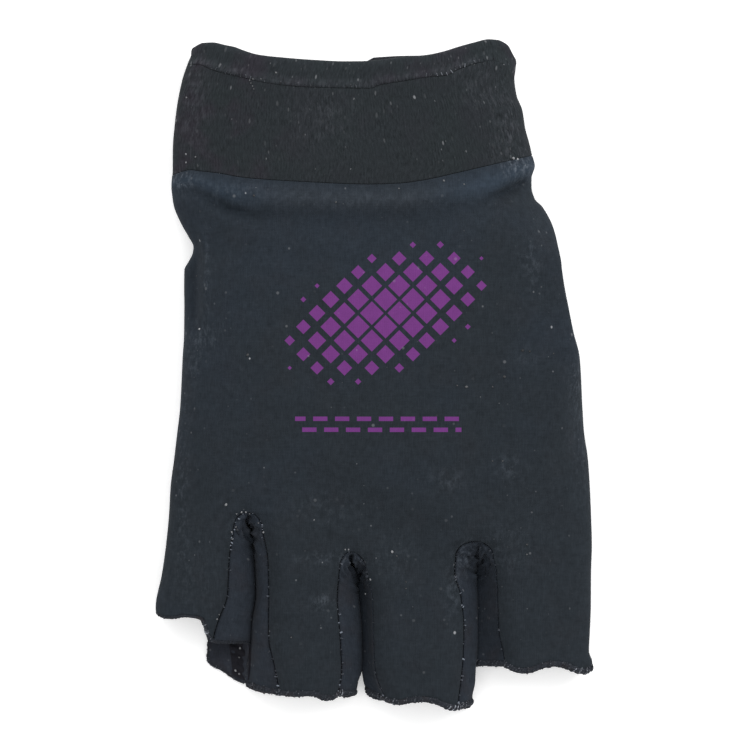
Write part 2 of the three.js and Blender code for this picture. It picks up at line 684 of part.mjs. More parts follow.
const wallPieces = fingerWalls.map((wall, gap) =>
  piece(`finger_wall_${gap + 1}`, thicken(wall, CLOTH), COLOURS.wall, 0.85),
);
const hemPieces = COLUMNS.back.map((_, finger) =>
  piece(`finger_hem_${finger + 1}`, makeFingerHem(finger), COLOURS.hem, 0.95),
);

const glove = new THREE.Group();
glove.name = "fitness_glove";
glove.add(
  piece("wrist_hem", makeWristHem(), COLOURS.knit, 0.95),
  piece("wrist_band", thicken(makeWristBand(), BAND), COLOURS.knit, 0.95),
  piece("back_panel", thicken(back, CLOTH), COLOURS.spandex, 0.8),
  piece("palm_panel", cutThumbHole(thicken(palm, CLOTH)), COLOURS.spandex, 0.8),
  ...wallPieces,
  ...hemPieces,
  piece("thumb_sleeve", thicken(thumb, CLOTH), COLOURS.spandex, 0.8),
  piece("thumb_hem", rollAlong(thumbEnd), COLOURS.hem, 0.95),
);

export default glove;
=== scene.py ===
# %% [markdown]
# # A half-finger fitness glove, laid flat on its palm
#
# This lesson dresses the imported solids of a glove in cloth, knit and thread. The solids stay where
# they are. Each one is replaced by a piece with the same form and a finer surface. A maker would cut
# the glove from stretch cloth: a back, a palm, three side strips between the fingers and a thumb. The
# wrist gets a ribbed band with a folded hem, and the finger openings get an overlocked edge.

# %% Load the frame
import json
import math

import bpy
import numpy as np
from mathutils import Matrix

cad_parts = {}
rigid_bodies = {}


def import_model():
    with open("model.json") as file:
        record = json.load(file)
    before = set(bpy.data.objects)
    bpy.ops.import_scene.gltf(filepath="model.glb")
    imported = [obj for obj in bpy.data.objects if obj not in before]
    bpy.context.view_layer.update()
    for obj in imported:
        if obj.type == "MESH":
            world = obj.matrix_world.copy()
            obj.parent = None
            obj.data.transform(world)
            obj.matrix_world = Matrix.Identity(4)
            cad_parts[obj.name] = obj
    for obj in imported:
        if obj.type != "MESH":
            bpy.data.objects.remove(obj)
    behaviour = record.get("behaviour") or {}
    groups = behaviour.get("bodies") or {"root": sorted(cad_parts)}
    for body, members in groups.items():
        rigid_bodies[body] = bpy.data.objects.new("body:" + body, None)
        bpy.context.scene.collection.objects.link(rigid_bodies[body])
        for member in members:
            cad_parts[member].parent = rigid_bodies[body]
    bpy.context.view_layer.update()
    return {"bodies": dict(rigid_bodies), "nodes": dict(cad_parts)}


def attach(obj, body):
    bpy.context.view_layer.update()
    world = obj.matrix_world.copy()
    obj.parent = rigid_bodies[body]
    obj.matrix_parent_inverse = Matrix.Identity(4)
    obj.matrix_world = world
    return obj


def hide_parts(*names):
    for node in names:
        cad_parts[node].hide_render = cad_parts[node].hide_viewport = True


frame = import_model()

print("nodes:", sorted(frame["nodes"]))

# %% [markdown]
# ## Camera and light
#
# The glove was pictured from straight above, with the wrist at the top. The camera stands a metre
# over it with a long lens, which bends the proportions very little. Two large soft lights stand beyond
# the wrist, a strong one on the right and a weaker one on the left. They bring out the roll beside the
# band, and leave the right-hand side of each finger gap darker than the left one. The rest comes evenly
# from all round, as in a light tent, because black cloth shows its grain best that way.

# %% Camera
CAMERA_HEIGHT = 1.0
VIEW_SIDE = 0.180  # metres of the glove's plane that the square picture shows
VIEW_PLANE = 0.005  # height at which that side is measured
VIEW_MIDDLE = -0.0002  # y of the picture's middle
SENSOR = 36.0


def add_object(name, data):
    """Puts an object into the scene."""
    made = bpy.data.objects.new(name, data)
    bpy.context.scene.collection.objects.link(made)
    return made


camera_data = bpy.data.cameras.new("camera")
camera_data.sensor_width = SENSOR
camera_data.lens = SENSOR * (CAMERA_HEIGHT - VIEW_PLANE) / VIEW_SIDE
camera_data.clip_end = 10
camera = add_object("camera", camera_data)
camera.location = (0.0, VIEW_MIDDLE, CAMERA_HEIGHT)
bpy.context.scene.camera = camera
bpy.context.scene.view_settings.view_transform = "Standard"
print("lens in millimetres:", round(camera_data.lens, 1))


# %% Light
def area_light(name, place, size, power):
    """A square soft light that looks at the glove."""
    data = bpy.data.lights.new(name, "AREA")
    data.shape = "SQUARE"
    data.size = size
    data.energy = power
    light = add_object(name, data)
    light.location = place
    x, y, z = place
    light.rotation_euler = (math.atan2(math.hypot(x, y), z), 0, math.atan2(-y, -x) - math.pi / 2)
    print(name, "light:", power, "watts")


area_light("window", place=(0.85, 0.75, 0.85), size=0.8, power=9.6)
area_light("wrist_side", place=(-0.45, 1.0, 0.8), size=0.8, power=4.2)
TENT = {"Color": (1.0, 1.0, 1.0, 1.0), "Strength": 0.93}
world = bpy.data.worlds.new("tent")
world.use_nodes = True
for name, value in TENT.items():
    world.node_tree.nodes["Background"].inputs[name].default_value = value
bpy.context.scene.world = world

# %% [markdown]
# ## The pattern
#
# All sizes below are millimetres. The outline, the seam of the band, the wrist edge, the finger gaps
# and the fingertips follow the lines that the solids were made from, and are fitted to the picture a
# little closer, by about a millimetre at most. Each is a short table, and a smooth curve without
# overshoot runs through its rows. A spline would be shorter to write, but it swings past its points
# where the cloth turns sharply, as beside the little finger.

# %% Sizes
MM = 0.001
CLOTH = 1.1  # thickness of the hand's cloth
BAND = 1.8  # thickness of the band's knit
SEAM = 0.08  # left open between two pieces that are sewn together
SIDE_SEAM = 4.0  # height of the seam at each side of the hand
SIDE_ROUND = 7.0  # how far in from it the palm is rounded
SLIT_SEAM = 3.2  # the same two sizes beside a finger gap
SLIT_ROUND = 3.2
CROWN_POWER = 2.8  # 2 is an elliptic arch over the hand, and more makes its top flatter
# How far the back is lower beside a finger gap, how near the gap, and how far from the web in full
DIP = {"depth": 2.4, "reach": 5.0, "run": 12.0}
ROLL_HEIGHT = 1.4
HEM_RADII = [0.5, 0.95, 0.95, 0.95]  # of the four fingers' edges, the little finger's first
THUMB_HEM_RADIUS = 0.95
THUMB = {"x": 31.0, "y": 12.0, "turn": math.radians(25), "lift": 8.6, "from": -18.0, "to": 45.0}
THUMB_FLAT = 17.0  # from the thumb's middle to where the raised palm begins to slope
THUMB_SHOULDER = 13.0  # length of that slope
THUMB_HOLE = {"along": 12.2, "aside": 10.3}
LIFT_SHARE = 0.22  # of the palm's lift, that the crown gets as well
PALM_ARCH = 1.0  # length of the rounded end of a slit in the palm
WEB_SIDES = {"left": -33.5, "right": -39.5}
WEB_RISE = 5.0  # how far the line from one web to the next is bent up in its middle
print("cloth:", CLOTH, "mm; band:", BAND, "mm; gap in a seam:", SEAM, "mm")


# %% Tables of the pattern's lines
def table(columns, *rows):
    """Rows of values as dictionaries, under the names of the columns. None stands for no value."""
    names = columns.split()
    return [{name: value for name, value in zip(names, row) if value is not None} for row in rows]


OUTLINE = table(
    "y left right crown",
    (82.0, -42.0, 31.4, 12.0),
    (79.0, -43.5, 32.9),
    (76.8, -44.1, 33.2, 12.0),
    (74.0, -45.2, 33.8),
    (71.0, -46.2, 33.5, 12.0),
    (67.0, -47.1, 34.0),
    (63.4, -47.7, 35.4, 12.1),
    (59.0, -48.2, 36.1),
    (55.7, -48.5, 37.0, 12.3),
    (52.0, -48.6, 37.95),
    (50.0, -48.6, 38.4, 12.5),
    (47.0, -48.8, 37.6),
    (45.0, -48.9, 37.6, 12.8),
    (42.0, -48.6, 38.4),
    (40.3, -48.3, 40.1, 13.0),
    (36.0, -46.5, 42.4, 13.3),
    (33.0, -44.8, 43.25),
    (30.5, -43.6, 43.7, 13.8),
    (29.0, -43.8, 44.0),
    (27.0, -44.8, 44.35, 14.1),
    (25.0, -45.8, 44.55, 14.3),
    (20.0, -45.85, 45.3),
    (17.0, -45.8, 45.9, 15.0),
    (10.0, -45.85, 47.3),
    (4.0, -46.2, 48.8, 15.4),
    (-8.0, -46.8, 49.7, 15.2),
    (-14.0, -47.5, 50.2),
    (-20.0, -48.2, 51.1, 14.6),
    (-27.0, -49.1, 51.6),
    (-34.0, -49.5, 51.9, 13.4),
    (-41.0, -50.2, 52.1),
    (-48.0, -51.2, 51.9, 12.2),
    (-56.0, -52.7, 51.85, 11.6),
    (-62.0, None, 51.6),
    (-66.5, None, 51.4),
    (-69.0, -52.6, 52.2, 11.0),
    (-80.0, -52.6, 52.4, 10.6),
)
BAND_SEAM = table(
    "x back palm",
    (-48.6, 47.8, 47.8),
    (-44.2, 48.8),
    (-41.7, 48.5),
    (-37.0, 47.9),
    (-32.2, 47.0),
    (-27.4, 46.5),
    (-18.0, 45.9),
    (-1.0, 45.25),
    (6.0, 45.5),
    (10.8, 46.1),
    (20.4, 48.2),
    (30.0, 50.5),
    (38.0, 52.5, 52.5),
)
WRIST_EDGE = table(
    "x back palm",
    (-43.4, 78.6, 78.5),
    (-41.4, 79.4, 78.6),
    (-39.5, 79.4, 78.4),
    (-35.6, 78.6, 77.4),
    (-33.7, 78.2),
    (-31.8, 77.45, 76.4),
    (-28.0, 76.3, 75.5),
    (-22.2, 75.6, 74.8),
    (-14.5, 75.0, 74.4),
    (-6.8, 74.65, 74.3),
    (-2.4, 74.7, 75.2),
    (-0.3, 74.9, 76.3),
    (2.5, 75.2, 76.5),
    (6.0, 75.6, 76.7),
    (12.4, 76.2, 76.8),
    (16.2, 77.0, 76.9),
    (20.0, 78.2, 77.0),
    (23.9, 79.3, 77.3),
    (27.7, 80.15, 77.6),
    (29.6, 80.05, 77.5),
    (31.6, 79.2, 77.3),
    (33.2, 76.4, 76.4),
)
HEM_LINE = table(
    "x line",
    (-45.0, 74.3),
    (-41.7, 73.9),
    (-39.3, 72.8),
    (-36.9, 72.0),
    (-32.1, 70.9),
    (-27.3, 69.7),
    (-17.8, 68.5),
    (-1.1, 68.1),
    (1.3, 69.0),
    (6.0, 69.7),
    (13.2, 70.9),
    (16.8, 71.2),
    (20.4, 72.9),
    (25.1, 74.4),
    (28.0, 75.0),
    (30.5, 74.4),
    (33.4, 71.4),
)
ROLL_FOLD = table(
    "x shade width depth",
    (-48.0, 4.2, 1.5, 0.2),
    (-43.0, 4.9, 1.2, 0.5),
    (-38.8, 6.8, 1.1, 1.3),
    (-35.0, 7.7, 1.2, 1.6),
    (-31.0, 8.2, 1.8, 1.4),
    (-24.0, 8.0, 3.0, 1.1),
    (0.0, 7.4, 3.2, 0.7),
    (18.0, 8.0, 3.0, 1.0),
    (28.0, 8.2, 1.9, 1.6),
    (31.0, 7.4, 1.5, 1.9),
    (35.0, 6.2, 1.3, 1.9),
    (37.5, 5.6, 1.3, 1.3),
)
FINGER_GAPS = [
    {
        "back": (-30.6, -33.0),
        "palm": (-30.3, -36.6),
        "rows": table(
            "y left valley right open",
            (-37.1, -33.8, -30.1, -26.9, 0.02),
            (-44.6, -34.9, -29.4, -25.6),
            (-52.8, -35.3, -29.0, -25.4),
            (-59.0, -37.5, -29.9, -25.5),
            (-63.4, -38.7, -30.1, -25.4, 0.02),
            (-67.0, None, None, None, -0.7),
            (-70.0, -39.2, -30.1, -24.0),
            (-75.0, -39.3, -30.1, -23.0, -0.7),
        ),
    },
    {
        "back": (-5.9, -42.5),
        "palm": (-5.4, -46.2),
        "rows": table(
            "y left valley right open",
            (-47.0, -8.5, -5.3, -2.2, 0.02),
            (-66.0, None, None, None, 0.02),
            (-53.5, -9.0, -4.2, -0.7),
            (-63.6, -8.3, -3.4, -0.4),
            (-71.0, -8.0, -3.4, 0.0, 0.3),
            (-72.4, None, -3.45, None, 0.8),
            (-74.0, None, -3.4, None, 1.25),
            (-76.2, None, None, None, 2.4),
            (-77.3, -9.0, -3.1, 2.3, 3.9),
        ),
    },
    {
        "back": (23.9, -39.9),
        "palm": (24.4, -43.6),
        "rows": table(
            "y left valley right open",
            (-43.2, 19.3, 24.3, 28.0, 0.02),
            (-66.0, None, None, None, 0.02),
            (-47.3, 19.0, 24.0, 28.9),
            (-52.8, 20.5, 24.2, 29.2),
            (-61.0, 21.3, 24.2, 29.5),
            (-67.7, 21.1, 24.0, 30.8),
            (-70.5, None, 23.75),
            (-78.0, 20.0, 23.6, 31.9, 0.3),
        ),
    },
]
FINGERTIPS = [
    table(
        "across back palm",
        (0, -57.8, -57.6),
        (0.15, -58.8),
        (0.3, -58.8, -58.2),
        (0.5, -58.3, -58.2),
        (0.586, None, -59.5),
        (0.593, None, -69.9),
        (0.62, None, -70.6),
        (0.7, -58.6, -71.4),
        (0.78, -58.75, -72.6),
        (0.85, -59.4),
        (0.86, None, -74.0),
        (0.9, -61.5),
        (0.95, -63.4),
        (0.955, None, -74.8),
        (0.985, None, -74.5),
        (0.993, None, -71.0),
        (1, -64.6, -65.2),
    ),
    table(
        "across back palm",
        (0, -77.2, -75.75),
        (0.05, None, -76.45),
        (0.15, None, -77.2),
        (0.3, -77.45),
        (0.4, -77.3, -76.9),
        (0.6, -77.25),
        (0.71, -78.0),
        (0.81, -78.3, -77.4),
        (0.92, -78.4, -78.4),
        (1, -77.3, -77.5),
    ),
    table(
        "across back palm",
        (0, -78.9, -76.7),
        (0.06, None, -78.7),
        (0.19, -79.4, -79.0),
        (0.35, -78.8),
        (0.51, -78.6, -78.3),
        (0.68, -79.0),
        (0.76, -79.6),
        (0.84, -80.1, -80.5),
        (0.94, -80.8, -81.0),
        (1, -80.6, -79.6),
    ),
    table(
        "across back palm",
        (0, -70.4, -70.45),
        (0.085, -71.4),
        (0.2, -71.9, -70.4),
        (0.29, -71.75, -70.5),
        (0.42, -70.7),
        (0.56, -70.2, -69.9),
        (0.7, -70.7),
        (0.83, -71.9, -70.7),
        (0.9, -72.2),
        (0.97, -71.75),
        (1, -71.3, -70.8),
    ),
]
THUMB_RINGS = table(
    "ring upperReach upperZ lowerReach lowerZ half",
    (0, 13.0, 8.25, -13.0, 8.25, 11.3),
    (1, 13.3, 8.1, -14.3, 4.8, 12.3),
    (2, 13.8, 8.0, -12.4, 1.3, 13.1),
    (3, 15.0, 7.9, -6.5, 0.0, 13.7),
    (4, 17.5, 7.9, 3.0, 0.0, 14.0),
    (5, 21.5, 7.9, 13.0, 0.0, 14.0),
    (6, 28.5, 7.9, 24.0, 0.0, 13.8),
    (7, 37.5, 7.9, 35.5, 0.0, 13.4),
)


# %% Curves through the tables
def lerp(start, end, share):
    return start + (end - start) * share


def smoothstep(value, low, high):
    share = np.clip((value - low) / (high - low), 0, 1)
    return share * share * (3 - 2 * share)


def curve_through(rows, along, column):
    """A smooth curve through one column of a table, with no overshoot between its rows."""
    known = sorted((row for row in rows if column in row), key=lambda row: row[along])
    at = np.array([row[along] for row in known], float)
    value = np.array([row[column] for row in known], float)
    slope = np.diff(value) / np.diff(at)
    before = np.concatenate([slope[:1], slope])
    after = np.concatenate([slope, slope[-1:]])
    agree = before * after > 0
    tangent = np.where(agree, 2 * before * after / np.where(agree, before + after, 1), 0)

    def curve(place):
        here = np.clip(place, at[0], at[-1])
        i = np.clip(np.searchsorted(at, here) - 1, 0, len(at) - 2)
        step = at[i + 1] - at[i]
        t = (here - at[i]) / step
        start = t * (1 - t) ** 2 * step * tangent[i]
        end = t * t * (1 - t) * step * tangent[i + 1]
        return lerp(value[i], value[i + 1], t * t * (3 - 2 * t)) + start - end

    return curve


left_side, right_side, crown = (curve_through(OUTLINE, "y", name) for name in ("left", "right", "crown"))
band_seam = {panel: curve_through(BAND_SEAM, "x", panel) for panel in ("back", "palm")}
wrist_edge = {panel: curve_through(WRIST_EDGE, "x", panel) for panel in ("back", "palm")}
hem_line = curve_through(HEM_LINE, "x", "line")
roll_fold = {name: curve_through(ROLL_FOLD, "x", name) for name in ("shade", "width", "depth")}
gap_curves = [
    {name: curve_through(gap["rows"], "y", name) for name in ("left", "right", "valley", "open")}
    for gap in FINGER_GAPS
]
knuckles = -34.0
print("width at the knuckles:", round(float(right_side(knuckles) - left_side(knuckles)), 1), "mm")


# %% [markdown]
# ## The height of the cloth
#
# Every point of a panel is found from its place on the plan. The back is a flattened arch, low at the
# side seams. It dips along each finger gap, and beside the band it has a puffed roll and a crease.
# The palm lies on the floor with rounded edges, and is raised over the thumb, which is folded under
# it. Sculpting would do this too, but a formula keeps the cloth on the solids' own surface.


# %% Places on the plan
def across_at(share, y):
    """The x at a share across the outline, from -1 on the left to 1 on the right."""
    return lerp(left_side(y), right_side(y), (share + 1) / 2)


def share_at(x, y):
    left = left_side(y)
    return np.clip(2 * (x - left) / (right_side(y) - left) - 1, -1, 1)


FIRST_GUESS = 50.0  # a y near the band's lines, from which a line's y is narrowed down
GUESSES = 6


def line_at(line, share):
    """The y of a line across the glove, at a share across the outline."""
    y = line(across_at(share, FIRST_GUESS))
    for _ in range(GUESSES):
        y = line(across_at(share, y))
    return y


def slit_edge(gap, panel, side, y):
    """The x of a finger gap's edge in a panel."""
    web_x, web_y = FINGER_GAPS[gap][panel]
    curves = gap_curves[gap]
    arch_end = FINGER_GAPS[gap]["rows"][0]["y"] if panel == "back" else web_y - PALM_ARCH
    below = np.minimum(y, arch_end)
    if panel == "back":
        straight = curves[side](below)
    else:
        straight = curves["valley"](below) + (-0.5 if side == "left" else 0.5) * curves["open"](below)
    rise = np.clip((y - arch_end) / (web_y - arch_end), 0, 1)
    return lerp(web_x, straight, np.sqrt(1 - rise * rise))


def from_slit(gap, panel, x, y):
    """How far a point of a panel is from the edge of a finger gap."""
    web_x, web_y = FINGER_GAPS[gap][panel]
    beside = np.maximum(slit_edge(gap, panel, "left", y) - x, x - slit_edge(gap, panel, "right", y))
    return np.where(y >= web_y, np.hypot(x - web_x, y - web_y), np.maximum(beside, 0))


# %% Heights
def thumb_place(x, y):
    """Reach along the folded thumb from its hole, and distance aside from its middle."""
    dx, dy = x - THUMB["x"], y - THUMB["y"]
    sin, cos = math.sin(THUMB["turn"]), math.cos(THUMB["turn"])
    return -dx * sin - dy * cos, dx * cos - dy * sin


def off_thumb(reach, aside):
    """The other way round: the x and y of a place on the folded thumb."""
    sin, cos = math.sin(THUMB["turn"]), math.cos(THUMB["turn"])
    return THUMB["x"] - reach * sin + aside * cos, THUMB["y"] - reach * cos - aside * sin


def lift(x, y):
    """Height of the palm's underside over the floor."""
    reach, aside = thumb_place(x, y)
    past = np.maximum(np.maximum(THUMB["from"] - reach, reach - THUMB["to"]), 0)
    beside = np.maximum(np.abs(aside) - THUMB_FLAT, 0)
    raised = THUMB["lift"] * (1 - smoothstep(past, 0, THUMB_SHOULDER))
    return raised * (1 - smoothstep(beside, 0, THUMB_SHOULDER))


def curl(distance, height, reach):
    """Height of a rounded edge at a distance in from it."""
    share = 1 - np.clip(distance / reach, 0, 1)
    return height * (1 - np.sqrt(1 - share * share))


# The roll's middle and its spread, as shares of the way from the band's seam to the crease
ROLL_MIDDLE, ROLL_SPREAD = 0.52, 0.36
CREASE_BEYOND = 0.75  # how far the crease is lowest beyond its shaded edge, in its widths


def roll_share(x, y):
    """How much a point lies on the puffed roll beside the band, from 0 to 1."""
    down = band_seam["back"](x) - y
    shade = roll_fold["shade"](x)
    from_middle = (down - ROLL_MIDDLE * shade) / (ROLL_SPREAD * shade)
    return np.where(down > 0, np.exp(-(from_middle**2)), 0)


def fold(x, y):
    """The roll beside the band and the crease after it."""
    down = band_seam["back"](x) - y
    shade, width, depth = (roll_fold[name](x) for name in ("shade", "width", "depth"))
    crease = depth * np.exp(-(((down - shade - CREASE_BEYOND * width) / width) ** 2))
    return ROLL_HEIGHT * roll_share(x, y) - np.where(down > 0, crease, 0)


# %% Small folds that only the surface has
# Each runs from a first point to a second one. Depth is under the surface, and a ridge is negative.
SOFT_FOLDS = table(
    "from to width depth",
    ((-43.2, 33.0), (-43.0, 9.0), 1.3, 1.5),
    ((-44.8, 32.0), (-44.7, 10.0), 1.5, 0.9),
    ((-41.9, 35.0), (-39.9, 25.0), 0.9, -0.8),
    ((-40.0, 27.0), (-40.9, 13.0), 0.9, -0.6),
    ((-41.4, 43.4), (-34.4, 39.9), 0.6, 1.0),
    ((-36.0, 40.1), (-29.6, 38.6), 0.6, 0.8),
    ((27.2, 41.6), (36.4, 46.6), 0.75, 1.6),
    ((-45.0, 8.0), (-46.6, -24.0), 1.6, 0.5),
    ((39.0, 41.0), (43.0, 30.0), 2.0, 0.5),
    ((47.0, 2.0), (48.6, -24.0), 1.5, 0.35),
    ((-48.6, -30.0), (-49.9, -56.0), 0.7, -0.25),
    ((-24.0, -41.0), (-8.0, -44.5), 1.6, 0.18),
    ((0.0, -47.0), (18.0, -45.5), 2.0, 0.15),
    ((-36.8, 40.2), (-24.0, 36.4), 2.2, 0.35),
)


def soft_folds(x, y):
    """How far the small folds lower the cloth."""
    total = np.zeros_like(x)
    for row in SOFT_FOLDS:
        (x0, y0), (x1, y1) = row["from"], row["to"]
        length = math.hypot(x1 - x0, y1 - y0)
        ux, uy = (x1 - x0) / length, (y1 - y0) / length
        along = ((x - x0) * ux + (y - y0) * uy) / length
        beside = (x - x0) * uy - (y - y0) * ux
        ends = smoothstep(along, -0.1, 0.3) * (1 - smoothstep(along, 0.7, 1.1))
        total += row["depth"] * ends * np.exp(-((beside / row["width"]) ** 2))
    return total


def undulation(x, y, size, height, seed):
    """Gentle waves of about one size in all directions, as loose cloth has."""
    random = np.random.default_rng(seed)
    total = np.zeros_like(x)
    waves = 9
    for _ in range(waves):
        angle, phase = random.uniform(0, 2 * np.pi, 2)
        pitch = size * random.uniform(0.7, 1.5)
        total += np.sin(2 * np.pi * (x * np.cos(angle) + y * np.sin(angle)) / pitch + phase)
    return height * total / math.sqrt(waves)


# %% Height of each panel
BROAD_WAVES = {"size": 17, "height": 0.11, "seed": 3}
FINE_WAVES = {"size": 5.5, "height": 0.025, "seed": 4}


def back_height(x, y):
    share = np.abs(share_at(x, y))
    raised = lift(x, y)
    seam = SIDE_SEAM + raised
    top = crown(y) + LIFT_SHARE * raised + fold(x, y)
    return seam + (top - seam) * np.clip(1 - share**CROWN_POWER, 0, 1) ** (1 / CROWN_POWER)


def palm_height(x, y):
    edge = np.minimum(x - left_side(y), right_side(y) - x)
    return lift(x, y) + curl(edge, SIDE_SEAM, SIDE_ROUND)


def panel_height(panel, x, y):
    if panel == "palm":
        slits = [curl(from_slit(gap, panel, x, y), SLIT_SEAM, SLIT_ROUND) for gap in range(3)]
        return palm_height(x, y) + np.maximum.reduce(slits)
    dips = []
    for gap in range(3):
        share = 1 - np.clip(from_slit(gap, panel, x, y) / DIP["reach"], 0, 1)
        web_y = FINGER_GAPS[gap]["back"][1]
        depth = lerp(DIP["depth"] / 2, DIP["depth"], smoothstep(web_y - y, 0, DIP["run"]))
        dips.append(depth * share * share)
    inner = np.minimum(x - left_side(y), right_side(y) - x)
    calm = smoothstep(inner, 0, 3) * smoothstep(band_seam["back"](x) - y, 0, 4)
    waves = undulation(x, y, **BROAD_WAVES) + undulation(x, y, **FINE_WAVES)
    return back_height(x, y) - np.maximum.reduce(dips) - calm * (soft_folds(x, y) - waves)


middle_of_back = panel_height("back", np.array([12.0]), np.array([-20.0]))
print("height of the back at the knuckles:", round(float(middle_of_back[0]), 2), "mm")


# %% [markdown]
# ## Cloth as a sheet with thickness
#
# A piece of cloth is first one sheet, a grid of points on its outer face. Then it gets a thickness
# inwards, and its free edges are turned in along a small arc, so that two pieces meet in a rounded
# seam groove and not in a knife edge. A Solidify modifier would do the first part, but it can't lean
# the edge walls against each other, as two pieces in a seam do.


# %% Sheets
def grid_quads(grid):
    """The faces between the rows and columns of a grid of point numbers."""
    corners = [grid[:-1, :-1], grid[1:, :-1], grid[1:, 1:], grid[:-1, 1:]]
    return np.stack([corner.ravel() for corner in corners], axis=1)


def unit(vectors):
    return vectors / np.maximum(np.linalg.norm(vectors, axis=-1, keepdims=True), 1e-9)


class Sheet:
    """The outer face of a piece of cloth. cloth_mm has each point's place on the flat cloth."""

    def __init__(self, points, quads, cloth_mm):
        self.points = points
        self.quads = quads
        self.cloth_mm = cloth_mm
        diagonals = points[quads[:, 2]] - points[quads[:, 0]], points[quads[:, 3]] - points[quads[:, 1]]
        facing = np.cross(*diagonals)
        self.normals = np.zeros_like(points)
        for corner in range(4):
            np.add.at(self.normals, quads[:, corner], facing)
        self.normals = unit(self.normals)
        self.inward = -self.normals

    def square(self, indices, axis):
        """Turns the way in, at an edge, so that the wall there is square to an axis."""
        self.inward[indices, axis] = 0
        self.inward[indices] = unit(self.inward[indices])


def free_edges(quads, count):
    """Pairs of points along the edges that only one face has, in that face's direction."""
    pairs = np.concatenate([quads[:, [i, (i + 1) % 4]] for i in range(4)])
    codes = pairs[:, 0].astype(np.int64) * count + pairs[:, 1]
    back_codes = pairs[:, 1].astype(np.int64) * count + pairs[:, 0]
    return pairs[~np.isin(codes, back_codes)], pairs


EDGE_ARC = (30, 60, 90)  # degrees at which the turned edge has its rows


def thicken(sheet, thickness, turned=0.4):
    """Points, faces, cloth places and layer numbers of a sheet with its thickness and turned edges."""
    count = len(sheet.points)
    edges, pairs = free_edges(sheet.quads, count)
    rim = np.unique(edges)
    along = np.zeros((count, 3))
    for end in (0, 1):
        np.add.at(along, edges[:, end], sheet.points[edges[:, 1]] - sheet.points[edges[:, 0]])
    outward = unit(np.cross(along[rim], sheet.normals[rim]))
    on_rim = np.zeros(count, bool)
    on_rim[rim] = True
    across = pairs[on_rim[pairs[:, 0]] & ~on_rim[pairs[:, 1]]]
    room = np.full(count, turned)
    lengths = np.linalg.norm(sheet.points[across[:, 0]] - sheet.points[across[:, 1]], axis=1)
    np.minimum.at(room, across[:, 0], 0.6 * lengths)
    radius = room[rim][:, None]
    inward = sheet.inward[rim]
    points = [sheet.points.copy()]
    points[0][rim] -= outward * radius
    centre = points[0][rim] + unit(inward) * radius
    for degrees in EDGE_ARC:
        angle = math.radians(degrees)
        points.append(centre + radius * (outward * math.sin(angle) - unit(inward) * math.cos(angle)))
    points.append(sheet.points + sheet.inward * thickness)
    ring_of = np.zeros(count, int)
    ring_of[rim] = np.arange(len(rim))
    starts = [count + len(rim) * i for i in range(len(EDGE_ARC) + 1)]
    rows = [edges] + [start + ring_of[edges] for start in starts[:-1]] + [starts[-1] + edges]
    walls = [np.stack([a[:, 1], a[:, 0], b[:, 0], b[:, 1]], axis=1) for a, b in zip(rows, rows[1:])]
    lining = sheet.quads[:, ::-1] + starts[-1]
    faces = np.concatenate([sheet.quads, *walls, lining])
    layer = np.repeat([0, 1], [len(sheet.quads) + len(edges) * len(walls), len(lining)])
    cloth_mm = np.concatenate([sheet.cloth_mm] + [sheet.cloth_mm[rim]] * len(EDGE_ARC) + [sheet.cloth_mm])
    return np.concatenate(points), faces, cloth_mm, layer


# %% [markdown]
# ## Dust, painted light and fluff
#
# A used glove holds dust where it rubs: on the cuff, at its sides and beside the notch on the left.
# The same table paints light as well: a highlight along the fold beside that notch, and lighter
# cheeks at the finger webs, where shade falls. Fluff hangs on the stitches round the first web and on
# the corners of the fingertips. Both are tables of soft spots, because a spot in a table is easy to
# move by hand, and one that is painted into a picture isn't.

# %% Where dust, painted light and fluff gather
DUST_AND_PAINTED_LIGHT = table(
    "x y wide tall amount",
    (-12.0, 61.5, 8.0, 7.0, 0.5),
    (25.5, 67.5, 5.0, 4.0, 0.6),
    (31.5, 60.0, 3.5, 7.0, 0.8),
    (-43.5, 61.0, 3.5, 9.0, 0.7),
    (-42.5, 72.0, 4.0, 5.0, 0.5),
    (20.0, 73.0, 8.0, 2.5, 0.5),
    # the next three make the ends and the left half of the roll beside the band lighter
    (34.5, 49.5, 5.0, 3.5, 1.0),
    (-46.5, 46.5, 3.5, 2.5, 1.0),
    (-34.0, 44.0, 9.0, 2.5, 0.35),
    (-40.5, 9.0, 4.0, 4.5, 0.4),
    # painted highlight along the ridge of the fold on the left
    (-40.2, 25.0, 1.1, 9.0, 0.5),
    (-43.5, 3.0, 2.0, 7.0, 0.4),
    (37.0, 26.0, 2.5, 6.0, 0.5),
    (36.5, 4.0, 3.0, 2.5, 0.35),
    (47.5, 0.0, 2.0, 7.0, 0.3),
    (17.0, -25.0, 5.0, 3.0, 0.4),
    (31.5, -22.0, 3.5, 3.0, 0.5),
    (-11.5, -44.0, 9.0, 1.6, 0.45),
    (-43.5, -46.0, 7.0, 12.0, 0.2),
    (18.5, -52.0, 2.0, 7.0, 0.5),
    # painted light: the next three lighten the cheeks at the finger webs, where shade falls
    (-31.5, -36.0, 3.0, 3.0, 0.45),
    (-5.5, -45.0, 2.5, 2.5, 0.6),
    (21.3, -44.0, 2.2, 4.0, 0.7),
    (-46.0, -22.0, 1.5, 24.0, 0.4),
    (49.5, -10.0, 2.5, 20.0, 0.4),
    (30.0, -42.0, 9.0, 7.0, 0.3),
    (-12.0, -32.0, 9.0, 5.0, 0.25),
    (-12.0, -54.5, 3.2, 2.5, 0.6),
    # lighter along the middle of the roll beside the band
    (-5.0, 41.5, 30.0, 2.5, 0.3),
    (5.0, -44.0, 5.0, 6.0, 0.3),
)
